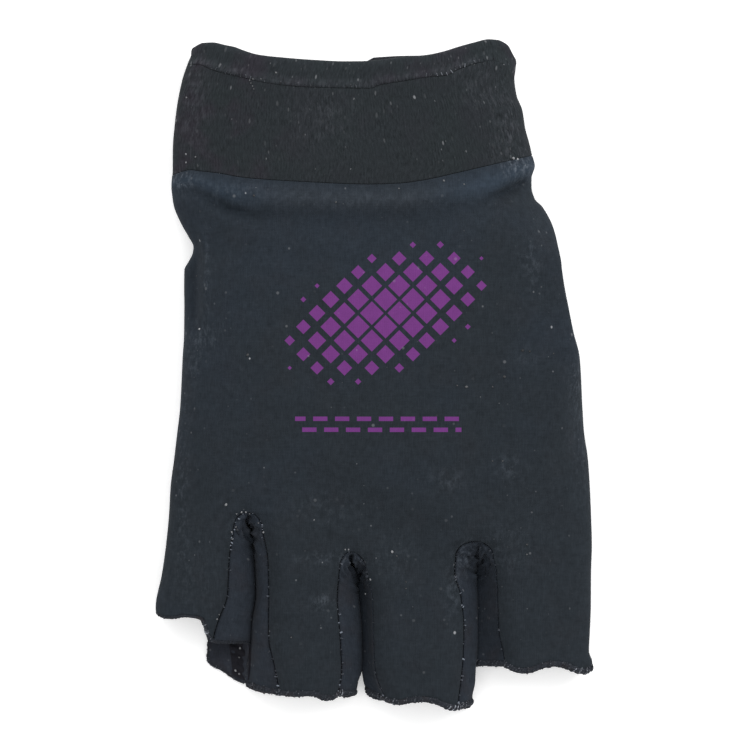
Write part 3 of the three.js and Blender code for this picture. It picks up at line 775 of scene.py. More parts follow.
# Where the amount is below 0, the stitches are darker than elsewhere
FLUFF = table(
    "x y reach amount",
    (-31.5, -34.2, 4.0, 1.3),
    (-34.4, -39.0, 3.4, 1.0),
    (-27.2, -36.5, 2.6, 1.0),
    (-37.6, -58.8, 1.2, 0.9),
    (-40.7, -61.2, 1.7, 1.0),
    (-34.0, -62.8, 3.6, -1.0),
    (-22.2, -74.5, 1.6, 1.0),
    (-6.5, -42.2, 1.6, 0.8),
    (-9.0, -60.0, 3.0, 0.9),
    (-9.2, -75.6, 1.6, 1.0),
    (4.5, -78.2, 3.0, 0.5),
    (18.5, -79.4, 3.2, 0.7),
    (20.6, -56.5, 5.0, 0.75),
    (20.8, -69.0, 3.0, 0.6),
    (33.5, -70.3, 2.0, 0.6),
    (48.7, -70.6, 2.2, 0.6),
    (18.0, 72.6, 7.0, 0.8),
    (-28.5, 70.6, 3.0, 0.7),
    (-9.0, 69.0, 5.0, 0.4),
    (-42.0, 74.0, 3.0, 0.7),
)


def gathered(rows, x, y):
    """How much of a table's dust and painted light, or its fluff, a place has, up to 1. It may be below 0.
    """
    total = np.zeros_like(x)
    for row in rows:
        wide, tall = row.get("wide", row.get("reach")), row.get("tall", row.get("reach"))
        total += row["amount"] * np.exp(-(((x - row["x"]) / wide) ** 2) - ((y - row["y"]) / tall) ** 2)
    return np.minimum(total, 1)


print("dusty spots:", len(DUST_AND_PAINTED_LIGHT), "and spots with fluff:", len(FLUFF))


# %% Objects
SMOOTH_UNDER = math.radians(50)


def add_value(mesh, name, values):
    """Stores one number at each point, which a material or a tree can read by its name."""
    attribute = mesh.attributes.new(name, "FLOAT", "POINT")
    attribute.data.foreach_set("value", np.asarray(values, np.float32))


def make_object(name, points, faces, cloth_mm=None, layer=None, round_mm=None, dust=0.0):
    """An object from points in millimetres, with the cloth's own places as a UV map."""
    mesh = bpy.data.meshes.new(name)
    mesh.from_pydata((points * MM).tolist(), [], faces.tolist())
    mesh.polygons.foreach_set("use_smooth", np.ones(len(faces), bool))
    if layer is not None:
        mesh.polygons.foreach_set("material_index", layer.astype(np.int32))
    if cloth_mm is not None:
        corners = cloth_mm[faces.ravel()].reshape(len(faces), -1, 2)
        if round_mm is not None:
            wide = np.ptp(corners[:, :, 0], axis=1) > round_mm / 2
            corners[wide, :, 0] += np.where(corners[wide, :, 0] < round_mm / 2, round_mm, 0)
        uv = mesh.uv_layers.new(name="cloth")
        uv.data.foreach_set("uv", corners.astype(np.float32).ravel())
    # The underside has no dust or painted light, and only the upper side has the roll's painted highlight
    x, y, z = points.T
    add_value(mesh, "dust", np.minimum(gathered(DUST_AND_PAINTED_LIGHT, x, y) + dust, 1) * smoothstep(z, 0.6, 1.2))
    add_value(mesh, "on_roll", roll_share(x, y) * smoothstep(z, 2.0, 5.0))
    mesh.update()
    mesh.set_sharp_from_angle(angle=SMOOTH_UNDER)
    return add_object(name, mesh)


def report(piece):
    """Prints how large a finished piece is, how low it lies and how many faces it has."""
    corners = np.array([corner[:] for corner in piece.bound_box]) / MM
    size, low = np.ptp(corners, axis=0), corners[:, 2].min()
    count = len(piece.data.polygons)
    print(f"{piece.name}: {size[0]:.1f} x {size[1]:.1f} x {size[2]:.1f} mm from z {low:.2f}, {count} faces")


# %% [markdown]
# ## The back and the palm
#
# On a real glove these are two flat cuts of stretch cloth, sewn at the sides. Each is built here as
# one grid from the band to the finger webs, and a strip for each finger. The columns lie closest at
# the edges, where the cloth turns over.


# %% Panels
COLUMNS = 38  # across each finger
HAND_ROWS = 144
ROWS_CROWDED = 0.35  # 0 is even rows, and more brings them closer together at the band and the webs
FINGER_ROWS = 58
# Two columns are put close together where the palm of the little finger steps down below its back
PALM_STEP = {
    "columns": [20, 21], "across": [0.586, 0.593], "middle": 0.59, "after": 0.41,
    "lean": 0.7, "from": 59.5, "to": 68.0,
}
EDGE_ROOM = 1.47  # how far the cloth ends before a fingertip's line, in radii of the edge's roll


def spread(count, round_left, round_right):
    """Shares from 0 to 1 that lie closest together at a rounded end."""
    t = np.linspace(0, 1, count + 1)
    if round_left and round_right:
        return (1 - np.cos(np.pi * t)) / 2
    if round_left:
        return 1 - np.cos(np.pi * t / 2)
    if round_right:
        return np.sin(np.pi * t / 2)
    return t


def finger_columns(panel):
    """For each finger, its columns' shares across it and their places on the line between the webs."""
    webs = [
        (float(left_side(WEB_SIDES["left"])), WEB_SIDES["left"]),
        *[gap[panel] for gap in FINGER_GAPS],
        (float(right_side(WEB_SIDES["right"])), WEB_SIDES["right"]),
    ]
    fingers = []
    for finger in range(4):
        across = spread(COLUMNS, panel == "palm" or finger == 0, panel == "palm" or finger == 3)
        if panel == "palm" and finger == 0:
            across[PALM_STEP["columns"]] = PALM_STEP["across"]
        (x0, y0), (x1, y1) = webs[finger], webs[finger + 1]
        web_y = lerp(y0, y1, across) + WEB_RISE * np.sin(np.pi * across)
        fingers.append({"across": across, "x": lerp(x0, x1, across), "y": web_y})
    return fingers


def hand_grid(panel, fingers):
    """The x and y of the grid from the band's seam to the webs. Neighbouring fingers share a column."""
    web_x = np.concatenate([columns["x"][min(finger, 1) :] for finger, columns in enumerate(fingers)])
    web_y = np.concatenate([columns["y"][min(finger, 1) :] for finger, columns in enumerate(fingers)])
    share = share_at(web_x, web_y)
    seam_y = line_at(band_seam[panel], share) - SEAM / 2
    rows = np.linspace(0, 1, HAND_ROWS + 1)
    rows = 1 - (rows - ROWS_CROWDED * np.sin(2 * np.pi * rows) / (2 * np.pi))
    y = lerp(web_y[None, :], seam_y[None, :], rows[:, None])
    x = across_at(share[None, :], y)
    x[-1] = web_x
    return x, y


def finger_grid(panel, finger, columns):
    """The x and y of the grid of one finger, from its first row after the webs to its tip."""
    tip = curve_through(FINGERTIPS[finger], "across", panel)(columns["across"])
    tip_y = tip + SEAM + EDGE_ROOM * HEM_RADII[finger]
    rows = np.linspace(0, 1, FINGER_ROWS + 1)[1:, None] ** 1.5
    y = lerp(columns["y"][None, :], tip_y[None, :], rows)
    left = slit_edge(finger - 1, panel, "right", y[:, 0]) if finger else left_side(y[:, 0])
    right = slit_edge(finger, panel, "left", y[:, -1]) if finger < 3 else right_side(y[:, -1])
    x = lerp(left[:, None], right[:, None], columns["across"][None, :])
    if finger == 0:
        x[:, 0] = left_side(y[:, 0])
    if panel == "palm" and finger == 0:
        past_step = columns["across"] > PALM_STEP["middle"]
        leaning = np.where(past_step, (1 - columns["across"]) / PALM_STEP["after"], 0)
        x -= PALM_STEP["lean"] * smoothstep(-y, PALM_STEP["from"], PALM_STEP["to"]) * leaning
    return x, y


def without_slivers(quads, x, y, strip):
    """Leaves out the few narrow faces in the palm's step that would be turned over."""
    (x0, x1, x2, x3), (y0, y1, y2, y3) = x[quads.T], y[quads.T]
    twice_area = (x2 - x0) * (y3 - y1) - (y2 - y0) * (x3 - x1)
    in_step = np.isin(quads, strip[:, PALM_STEP["columns"]]).all(axis=1)
    turned_over = in_step & (twice_area <= 0)
    print("slivers left out beside the palm's step:", np.count_nonzero(turned_over))
    return quads[~turned_over]


def make_panel(panel):
    """The sheet of the back or the palm, with the point numbers of its finger strips."""
    turned_under = panel == "palm"
    fingers = finger_columns(panel)
    parts = [hand_grid(panel, fingers)]
    parts += [finger_grid(panel, finger, columns) for finger, columns in enumerate(fingers)]
    x, y = (np.concatenate([part[axis].ravel() for part in parts]) for axis in (0, 1))
    starts = np.cumsum([0] + [part[0].size for part in parts])
    grid = np.arange(starts[1]).reshape(parts[0][0].shape)
    strips = []
    for finger in range(4):
        below = np.arange(starts[finger + 1], starts[finger + 2]).reshape(FINGER_ROWS, COLUMNS + 1)
        strips.append(np.vstack([grid[-1, finger * COLUMNS : (finger + 1) * COLUMNS + 1], below]))
    quads = np.concatenate([grid_quads(piece) for piece in (grid, *strips)])
    if turned_under:
        quads = without_slivers(quads, x, y, strips[0])
    z = panel_height(panel, x, y)
    at_side = np.abs(share_at(x, y)) > 0.999999
    z = z + np.where(at_side, -SEAM / 2 if turned_under else SEAM / 2, 0)
    points = np.stack([x, y, z], axis=1)
    # Where the cloth turns down at a side, its flat place goes on outwards by the height that it loses
    turned_down = np.sign(x) * (crown(y) - z) * (np.abs(share_at(x, y)) > 0.8)
    cloth_mm = np.stack([x + turned_down, y], axis=1)
    made = Sheet(points, quads[:, ::-1] if turned_under else quads, cloth_mm)
    made.square(grid[0], 1)
    for finger, column in ((0, 0), (3, -1)):
        made.square(np.concatenate([grid[:, column], strips[finger][1:, column]]), 2)
    made.strips = strips
    return made


back = make_panel("back")
palm = make_panel("palm")
print("back:", len(back.quads), "faces; palm:", len(palm.quads), "faces, one layer each")


# %% [markdown]
# ## Finger side strips
#
# Between two fingers a narrow strip of the same cloth runs down one finger's side, round the web and
# down the next. Its left side is full like a cheek. The right side is full too in the first gap, and
# hollow in the two others, so each gap gets its own light. Where a gap is closed, both sides lean a
# little to the right, so that it is a dark line and no floor shows through it. Where a strip meets a
# panel, both are turned halfway towards each other, as sewn edges are.


# %% Lengths along a path
def lengths_along(points):
    """The length from the first point of a path to each of its points."""
    return np.concatenate([[0], np.cumsum(np.linalg.norm(np.diff(points, axis=0), axis=1))])


def values_at(at, lengths, values):
    """Three columns of values, read at other lengths along their path."""
    return np.stack([np.interp(at, lengths, values[:, axis]) for axis in range(3)], axis=1)


# %% Side strips
STRIP_COLUMNS = 18
STRIP_SEAM = 0.2
WEB_FULLNESS = 0.75
# The cloth is gathered at the web: crumples on its face, and a crease down from the middle of the web
CRUMPLE = {"size": 2.4, "height": 0.45, "reach": 11.0}
WEB_CREASE = {"depth": 1.3, "width": 0.7, "aside": [0.0, 0.1, 0.9], "sway": 0.4}
# The curve of each side between its two edges: 1 is a full cheek, 0 is flat and -1 is hollow
FULLNESS = [{"left": 0.9, "right": 0.85}, {"left": 0.8, "right": -0.85}, {"left": 0.8, "right": -0.4}]
# The sides lean in full where the gap is open by the first size or less, and not at all past the
# second. On their way down the lean starts at one share and is largest at another.
LEAN_OVER = {"left": 0.75, "right": 0.35, "open": (0.3, 1.5), "starts": 0.4, "most": 0.8}


def mitre(one, ones, other, others):
    """Turns the ways in of two pieces, where they meet, to the line halfway between them."""
    halfway = unit(one.normals[ones] + other.normals[others])
    lean = np.clip((halfway * one.normals[ones]).sum(axis=1, keepdims=True), 0.7, 1)
    one.inward[ones] = -halfway / lean
    other.inward[others] = -halfway / lean


def gap_edge(panel, gap):
    """The numbers of a panel's points round a finger gap: up one finger and down the next."""
    left, right = panel.strips[gap][:, -1], panel.strips[gap + 1][:, 0]
    return np.concatenate([left[::-1], right[1:]])


def bulge(t, full):
    """How far out and down a side's curve is at a share of its way, when full, flat or hollow."""
    fast, slow = np.sin(np.pi * t / 2) - t, 1 - np.cos(np.pi * t / 2) - t
    out = t + np.maximum(full, 0) * fast + np.maximum(-full, 0) * slow
    down = t + np.maximum(full, 0) * slow + np.maximum(-full, 0) * fast
    return out, down


def crumpled(gap, t, depth, length, below_web):
    """How far the cloth that is gathered at a web stands out from its smooth curve."""
    crumple = {"size": CRUMPLE["size"], "height": CRUMPLE["height"], "seed": 11 + gap}
    waves = undulation(t * depth[:, None], length[:, None], **crumple)
    aside = WEB_CREASE["aside"][gap] + WEB_CREASE["sway"] * np.sin(8 * t + gap)
    from_middle = ((length - length[len(length) // 2])[:, None] - aside) / WEB_CREASE["width"]
    gathering = np.sqrt(np.sin(np.pi * t)) * (1 - smoothstep(below_web, 3.0, CRUMPLE["reach"]))[:, None]
    return (waves - WEB_CREASE["depth"] * np.exp(-(from_middle**2))) * gathering


def make_strip(gap):
    """The sheet round a finger gap, from the back panel's edge down to the palm's."""
    edges = [gap_edge(panel, gap) for panel in (back, palm)]
    top, bottom = back.points[edges[0]], palm.points[edges[1]] + [0, 0, SEAM]
    start = top + unit(bottom - top) * STRIP_SEAM
    below_web = FINGER_GAPS[gap]["back"][1] - top[:, 1]
    on_left = np.arange(len(top)) <= len(top) // 2
    side = np.where(on_left, FULLNESS[gap]["left"], FULLNESS[gap]["right"])
    full = lerp(WEB_FULLNESS, side, smoothstep(below_web, 0.5, 4.0))[:, None]
    t = np.linspace(0, 1, STRIP_COLUMNS + 1)[None, :]
    out, down = bulge(t, full)
    points = start[:, None, :] + (bottom - start)[:, None, :] * np.stack([out, out, down], axis=2)
    closed = 1 - smoothstep(gap_curves[gap]["open"](top[:, 1]), *LEAN_OVER["open"])
    tip = top[:, 1].min()
    leaning = np.where(on_left, LEAN_OVER["left"], LEAN_OVER["right"]) * closed
    leaning *= smoothstep(below_web, 0.0, 1.5) * smoothstep(top[:, 1] - tip, 0.0, 5.0)
    starts, most = LEAN_OVER["starts"], LEAN_OVER["most"]
    points[:, :, 0] += leaning[:, None] * smoothstep(t, starts, most) * (1 - smoothstep(t, most, 1.0))
    grid = np.arange(points.shape[0] * points.shape[1]).reshape(points.shape[:2])
    length = lengths_along(top)
    depth = np.linalg.norm(bottom - start, axis=1)
    raised = crumpled(gap, t, depth, length, below_web)
    cloth_mm = np.stack([t * depth[:, None], np.broadcast_to(length[:, None], out.shape)], axis=2)
    plain = Sheet(points.reshape(-1, 3), grid_quads(grid)[:, ::-1], cloth_mm.reshape(-1, 2))
    made = Sheet(plain.points + plain.normals * raised.reshape(-1, 1), plain.quads, plain.cloth_mm)
    mitre(back, edges[0], made, grid[:, 0])
    mitre(palm, edges[1], made, grid[:, -1])
    made.grid = grid
    return made


strips = [make_strip(gap) for gap in range(3)]


# %% Cloth of the back and the side strips
def add_cloth(name, sheet, thickness, **options):
    piece = make_object(name, *thicken(sheet, thickness), **options)
    report(piece)
    return piece


pieces = {"back_cloth": add_cloth("back_cloth", back, CLOTH)}
for gap, strip in enumerate(strips):
    name = f"finger_strip_{gap + 1}"
    pieces[name] = add_cloth(name, strip, CLOTH)


# %% [markdown]
# ## Spare cloth of the seams
#
# A seam has a narrow edge of spare cloth inside the glove, which matters in two places. In the little
# finger's opening it is turned in and lies on the palm as a loose strip, which is one more thin sheet
# here. It is darker than the cloth, as painted shade for the dark band there. Along the side strips
# it rolls up behind the stitches, so that no light comes through the sewn edge. Such a roll could be
# wound turn by turn, but nobody sees inside it, so it is a thin tube.

# %% Turned-in seam of the little finger
TURNED_SEAM = {
    "left": -34.8, "right": -29.9, "top": -60.5, "thick": 0.4,
    "sway": 0.3, "short_of_tip": 0.3, "over_palm": 0.25,
}


def make_turned_seam():
    """The sheet of the loose strip, gently waved, on the inside of the palm."""
    edge = palm.points[palm.strips[0][-1]]
    across, down = np.meshgrid(np.linspace(0, 1, 15), np.linspace(0, 1, 45))
    x = lerp(TURNED_SEAM["left"] - TURNED_SEAM["sway"] * np.sin(5 * down), TURNED_SEAM["right"], across)
    y = lerp(TURNED_SEAM["top"], np.interp(x, edge[:, 0], edge[:, 1]) + TURNED_SEAM["short_of_tip"], down)
    lining = panel_height("palm", x, y) + CLOTH
    z = lining + TURNED_SEAM["over_palm"] + undulation(x, y, size=2.4, height=0.24, seed=21)
    points = np.stack([x, y, z], axis=2).reshape(-1, 3)
    return Sheet(points, grid_quads(np.arange(x.size).reshape(x.shape)), points[:, :2])


pieces["turned_in_seam"] = add_cloth("turned_in_seam", make_turned_seam(), TURNED_SEAM["thick"])

# %% Rolled seams inside the side strips
ROLLED_SEAM = {"radius": 0.45, "around": 8, "depth": 0.9, "wall": 0.25}


def tube_quads(rows, points):
    """The faces of a tube, whose rings are closed."""
    grid = np.arange(rows * points).reshape(rows, points)
    return grid_quads(np.hstack([grid, grid[:, :1]]))


def make_rolled_seam(strip):
    """A thin tube along the inner corner between a side strip and the back."""
    edge = strip.grid[1:-1, 0]
    middle = strip.points[edge] + strip.inward[edge] * CLOTH * ROLLED_SEAM["depth"]
    along = unit(np.gradient(middle, axis=0))
    aside = unit(np.cross(along, strip.inward[edge]))
    angle = 2 * np.pi * np.arange(ROLLED_SEAM["around"]) / ROLLED_SEAM["around"]
    across, down = aside[:, None], np.cross(aside, along)[:, None]
    ring = np.cos(angle)[:, None] * across + np.sin(angle)[:, None] * down
    points = (middle[:, None] + ROLLED_SEAM["radius"] * ring).reshape(-1, 3)
    made = Sheet(points, tube_quads(len(edge), len(angle)), points[:, :2])
    outward = (made.normals * ring.reshape(-1, 3)).sum(axis=1).mean()
    print("share by which the rolled seam's faces point out:", round(float(outward), 2))
    return made


for gap, strip in enumerate(strips):
    name = f"rolled_seam_{gap + 1}"
    pieces[name] = add_cloth(name, make_rolled_seam(strip), ROLLED_SEAM["wall"])


# %% [markdown]
# ## The thumb hole and the thumb
#
# The thumb is folded out of sight under the palm. The hole is cut through the palm's grid by leaving
# out the faces inside an oval and moving the points beside it onto the oval. The sleeve is a tube
# that leaves the hole downwards and bends to lie flat.


# %% Thumb hole
def cut_hole(sheet):
    """Leaves out the faces inside the thumb hole and draws the edge of what is left onto its oval."""
    reach, aside = thumb_place(sheet.points[:, 0], sheet.points[:, 1])
    level = np.hypot(reach / THUMB_HOLE["along"], aside / THUMB_HOLE["aside"])
    inside = level < 1
    kept = sheet.quads[~inside[sheet.quads].all(axis=1)]
    edges, _ = free_edges(kept, len(sheet.points))
    rim = np.unique(edges)
    rim = rim[level[rim] < 1.2]
    x, y = off_thumb(reach[rim] / level[rim], aside[rim] / level[rim])
    sheet.points[rim] = np.stack([x, y, panel_height("palm", x, y)], axis=1)
    used = np.unique(kept)
    number = np.zeros(len(sheet.points), int)
    number[used] = np.arange(len(used))
    made = Sheet(sheet.points[used], number[kept], sheet.cloth_mm[used])
    made.inward = sheet.inward[used]
    return made


pieces["palm_cloth"] = add_cloth("palm_cloth", cut_hole(palm), CLOTH)

# %% Thumb sleeve
THUMB_ROWS = 60
THUMB_POINTS = 72
THUMB_POWER = {"root": 2.0, "end": 2.6}  # from an ellipse at the hole to a flattened tube
THUMB_RADIUS = 11.0  # of a round tube that takes about as much cloth as the sleeve


def make_thumb():
    """The sleeve's sheet, from rings that run from the hole to the open end."""
    last = len(THUMB_RINGS) - 1
    ring = np.linspace(0, last, THUMB_ROWS)[:, None]
    names = [name for name in THUMB_RINGS[0] if name != "ring"]
    size = {name: curve_through(THUMB_RINGS, "ring", name)(ring) for name in names}
    power = lerp(THUMB_POWER["root"], THUMB_POWER["end"], smoothstep(ring, 0, last / 2))
    angle = 2 * np.pi * np.arange(THUMB_POINTS)[None, :] / THUMB_POINTS
    up = np.sign(np.cos(angle)) * np.abs(np.cos(angle)) ** (2 / power)
    aside = np.sign(np.sin(angle)) * np.abs(np.sin(angle)) ** (2 / power) * size["half"]
    reach = lerp(size["lowerReach"], size["upperReach"], (up + 1) / 2)
    z = lerp(size["lowerZ"], size["upperZ"], (up + 1) / 2)
    x, y = off_thumb(reach, aside)
    points = np.stack([x, y, z], axis=2)
    cloth_mm = np.stack([np.broadcast_to(angle * THUMB_RADIUS, x.shape), reach], axis=2)
    made = Sheet(points.reshape(-1, 3), tube_quads(THUMB_ROWS, THUMB_POINTS), cloth_mm.reshape(-1, 2))
    made.square(np.arange(THUMB_POINTS), 2)
    return made


thumb = make_thumb()
pieces["thumb_cloth"] = add_cloth("thumb_cloth", thumb, CLOTH, round_mm=2 * math.pi * THUMB_RADIUS)

# %% [markdown]
# ## The wrist band and its hem
#
# The band is a ribbed elastic knit, joined into a loop and sewn to the hand. Its free edge is folded
# in and stitched down, which gives a double hem a little proud of the band, with a soft groove along
# its middle. Both are rings of sections round the wrist. The points are spaced by an angle, so they
# crowd at the sides, where the loop turns under.

# %% Round the wrist
AROUND = 120  # points over the back, and as many under the palm
around_angle = np.pi * np.arange(AROUND) / AROUND
ROUND_SHARES = np.concatenate([-np.cos(around_angle), np.cos(around_angle)])
ON_BACK = np.arange(2 * AROUND) < AROUND


def wrist_line(lines):
    """The y of a line round the wrist, on the back and on the palm."""
    return np.where(ON_BACK, line_at(lines["back"], ROUND_SHARES), line_at(lines["palm"], ROUND_SHARES))


def wrist_points(y):
    x = across_at(ROUND_SHARES, y)
    z = np.where(ON_BACK, back_height(x, y), palm_height(x, y))
    return np.stack([x, y, z], axis=-1)


def round_lengths(ring):
    """The length along a closed ring of points, from its first one."""
    steps = np.linalg.norm(np.roll(ring, -1, axis=0) - ring, axis=1)
    return np.concatenate([[0], np.cumsum(steps)[:-1]]), steps.sum()


hem_y = wrist_line(wrist_edge)
seam_y = wrist_line(band_seam)
hem_wide = hem_y - line_at(hem_line, ROUND_SHARES)
under_palm = np.interp(ROUND_SHARES, [-1, 1], hem_wide[[0, AROUND]])
hem_wide = np.where(ON_BACK, hem_wide, under_palm)
# The stitched line fades between these shares at the sides, where the folded knit is pressed flat
HEM_FADE = {"left": (-0.995, -0.96), "right": (0.74, 0.87)}
past_left, past_right = (smoothstep(ROUND_SHARES, *HEM_FADE[side]) for side in ("left", "right"))
hem_step = (1 - past_right) * past_left
BAND_ROWS = 56
# How far the band's face lies under the cloth at its seam and under the hem at the stitched line
BAND_LOW = {"seam": 0.08, "hem": 0.06}
HEM_GAP = 0.02  # left open between the band and its hem


def make_band():
    """The band's sheet and its length round the wrist."""
    along = np.linspace(1, 0, BAND_ROWS + 1)[:, None]
    y = lerp(seam_y + SEAM / 2, hem_y - hem_wide - HEM_GAP, along)
    points = wrist_points(y)
    lengths, total = round_lengths(points[len(points) // 2])
    cloth_mm = np.stack([np.broadcast_to(lengths, y.shape), y], axis=2)
    made = Sheet(points.reshape(-1, 3), tube_quads(BAND_ROWS + 1, 2 * AROUND), cloth_mm.reshape(-1, 2))
    x, z = made.points[:, 0], made.points[:, 2]
    near_seam = 1 - smoothstep(y - seam_y, 0, 2.5)
    near_hem = hem_step * (1 - smoothstep(hem_y - hem_wide - y, 0, 1.5))
    waves = undulation(x, made.points[:, 1], size=14, height=0.07, seed=8) * (z > 6)
    sink = (BAND_LOW["seam"] * near_seam + BAND_LOW["hem"] * near_hem).ravel() - waves
    made.points += made.inward * sink[:, None] * (z > 3)[:, None]
    ends = np.concatenate([np.arange(2 * AROUND), len(made.points) - 1 - np.arange(2 * AROUND)])
    made.square(ends, 1)
    return made, total


band, band_round = make_band()
pieces["wrist_band_knit"] = make_object("wrist_band_knit", *thicken(band, BAND, 0.1), round_mm=band_round)
report(pieces["wrist_band_knit"])

# %% Wrist hem
# The hem's section: share of its width down from the wrist edge, and depth under the band's face
HEM_SECTION = [
    (1.0, 0.35), (0.996, 0.16), (0.985, 0.06), (0.965, -0.03), (0.935, -0.11), (0.89, -0.16),
    (0.83, -0.14), (0.75, -0.04), (0.67, 0.07), (0.59, 0.09), (0.49, -0.04), (0.37, -0.2),
    (0.25, -0.32), (0.14, -0.3), (0.06, -0.1), (0.013, 0.4), (0.0, 1.0), (0.013, 1.6), (0.08, 2.0),
    (0.18, 2.12), (0.54, 2.15), (0.95, 2.15), (1.0, 1.95), (1.0, 1.2),
]


def make_hem():
    """A closed ring of the hem's sections, the lowest of which lie on the floor."""
    down, deep = (np.array(values)[None, :] for values in zip(*HEM_SECTION))
    flat = wrist_points(np.stack([hem_y, hem_y - hem_wide]))
    ring = Sheet(flat.reshape(-1, 3), tube_quads(2, 2 * AROUND), flat.reshape(-1, 3)[:, :2])
    way_in = ring.inward[: 2 * AROUND].copy()
    way_in[:, 1] = 0
    way_in = unit(way_in)
    y = hem_y[:, None] - down * hem_wide[:, None]
    x = across_at(ROUND_SHARES[:, None], y)
    z = np.where(ON_BACK[:, None], back_height(x, y), palm_height(x, y))
    # Next to the stitched line the outer face is raised only where that line shows
    outer = (deep < 0.36) & (down > 0.5)
    deep = np.where(outer, deep * hem_step[:, None], deep)
    wave = undulation(x, y, size=9, height=0.06, seed=5)
    points = np.stack([x, y, z], axis=2) + way_in[:, None, :] * (deep + wave * (down < 0.9))[:, :, None]
    points[:, :, 2] = np.maximum(points[:, :, 2], 0)
    rings, section = points.shape[:2]
    grid = np.arange(rings * section).reshape(rings, section)
    closed = np.vstack([np.hstack([grid, grid[:, :1]]), np.append(grid[0], grid[0, 0])])
    lengths, total = round_lengths(flat[0])
    cloth_mm = np.stack([np.repeat(lengths[:, None], section, axis=1), y], axis=2)
    ridge = smoothstep(down, 0.66, 0.8) * (1 - smoothstep(down, 0.95, 0.985)) * hem_step[:, None]
    shape = {"cloth_mm": cloth_mm.reshape(-1, 2), "round_mm": total, "dust": 0.5 * ridge.ravel()}
    return make_object("wrist_hem_knit", points.reshape(-1, 3), grid_quads(closed), **shape)


pieces["wrist_hem_knit"] = make_hem()
report(pieces["wrist_hem_knit"])

# %% [markdown]
# ## Nodes by one method
#
# Materials and Geometry Nodes trees are both made of nodes. One function adds any of them: its
# settings are set first, because they decide which sockets there are, and then the sockets get their
# values or links. A small class wraps a socket, so that shader maths reads as plain sums.


# %% Node helper
def operator(operation):
    """The two forms of an operator on sockets: socket with other, and other with socket."""
    return (
        lambda self, other: self.paint.math(operation, self, other),
        lambda self, other: self.paint.math(operation, other, self),
    )


class Socket:
    """A node's output, on which sums can be written as on a number."""

    def __init__(self, paint, output):
        self.paint = paint
        self.output = output

    __add__, __radd__ = operator("ADD")
    __sub__, __rsub__ = operator("SUBTRACT")
    __mul__, __rmul__ = operator("MULTIPLY")
    __truediv__, __rtruediv__ = operator("DIVIDE")
    __gt__, __lt__ = operator("GREATER_THAN")


def add_node(tree, kind, settings=None, inputs=None):
    """Adds a node, with its settings first and then the values or links of its sockets."""
    node = tree.nodes.new(kind)
    for name, value in (settings or {}).items():
        setattr(node, name, value)
    for name, value in (inputs or {}).items():
        source = value.output if isinstance(value, Socket) else value
        if isinstance(source, bpy.types.NodeSocket):
            tree.links.new(source, node.inputs[name])
        else:
            node.inputs[name].default_value = source
    return node


class Paint:
    """A material that is made of nodes."""

    def __init__(self, name):
        self.material = bpy.data.materials.new(name)
        self.material.use_nodes = True
        self.tree = self.material.node_tree
        self.tree.nodes.clear()

    def node(self, kind, settings=None, inputs=None, output=0):
        made = add_node(self.tree, "ShaderNode" + kind, settings, inputs)
        return Socket(self, made.outputs[output])

    def math(self, operation, *values):
        return self.node("Math", {"operation": operation}, dict(enumerate(values)))

    def coordinates(self):
        """Object coordinates in millimetres, as three sockets."""
        place = self.node("TexCoord", output="Object")
        scaled = self.node("VectorMath", {"operation": "SCALE"}, {0: place, "Scale": 1 / MM})
        return self.split(scaled)

    def split(self, vector):
        parts = add_node(self.tree, "ShaderNodeSeparateXYZ", None, {0: vector})
        return [Socket(self, output) for output in parts.outputs]

    def join(self, x, y, z=0.0):
        return self.node("CombineXYZ", None, {0: x, 1: y, 2: z})

    def noise(self, place, scale=1.0, detail=2.0, roughness=0.5):
        settings = {"noise_dimensions": "3D"}
        inputs = {"Vector": place, "Scale": scale, "Detail": detail, "Roughness": roughness}
        return self.node("TexNoise", settings, inputs, "Fac")

    def ramp(self, value, low, high, start=0.0, end=1.0):
        """A smooth step from one value to another as the input goes from low to high."""
        inputs = {"Value": value, "From Min": low, "From Max": high, "To Min": start, "To Max": end}
        return self.node("MapRange", {"interpolation_type": "SMOOTHSTEP"}, inputs)

    def mix(self, share, first, second):
        return self.node("Mix", {"data_type": "RGBA"}, {0: share, 6: first, 7: second}, 2)

    def scale(self, colour, amount):
        colour = colour[:3] if isinstance(colour, tuple) else colour
        return self.node("VectorMath", {"operation": "SCALE"}, {0: colour, "Scale": amount})

    def value(self, name):
        """A number that the mesh carries at each point."""
        return self.node("Attribute", {"attribute_name": name}, output="Fac")

    def cloth_place(self):
        """The place on the flat cloth in millimetres: across the grain, and along it."""
        return self.split(self.node("UVMap", {"uv_map": "cloth"}))[:2]

    def finish(self, constants, links):
        """The Principled shader with its constant and its varying sockets."""
        shader = add_node(self.tree, "ShaderNodeBsdfPrincipled", None, {**constants, **links})
        add_node(self.tree, "ShaderNodeOutputMaterial", None, {"Surface": shader.outputs[0]})
        return self.material


def linear(red, green, blue):
    """A colour as a picture shows it, 0 to 255, in the linear scale that shaders use."""
    scaled = [value / 255 for value in (red, green, blue)]
    return tuple(v / 12.92 if v < 0.04045 else ((v + 0.055) / 1.055) ** 2.4 for v in scaled) + (1.0,)


# %% [markdown]
# ## Stretch cloth
#
# The hand is made of a fine, matt stretch knit in a dark slate, which is bluer towards the wrist. It
# is used, so it has faint streaks along the grain, a dusty haze near the sides and specks of lint. The
# same haze also paints light: a highlight along the fold on the left, and lighter cheeks at the finger
# webs, where shade falls. The roll beside the band gets a painted highlight, lighter and bluer than the
# cloth, bluer at its ends and lighter towards the right. The knit itself is much finer than a picture
# of the whole glove can show, so it is bump with a little colour. Streaks, loops and lint follow the
# cloth's own UV map, in millimetres, so they don't stretch where it turns under. Broad changes of tone
# and the print follow the place on the glove.


# %% Lint and grain
SEED_SHIFT = {"across": 17.3, "along": 9.1}  # millimetres between the patterns of two seeds


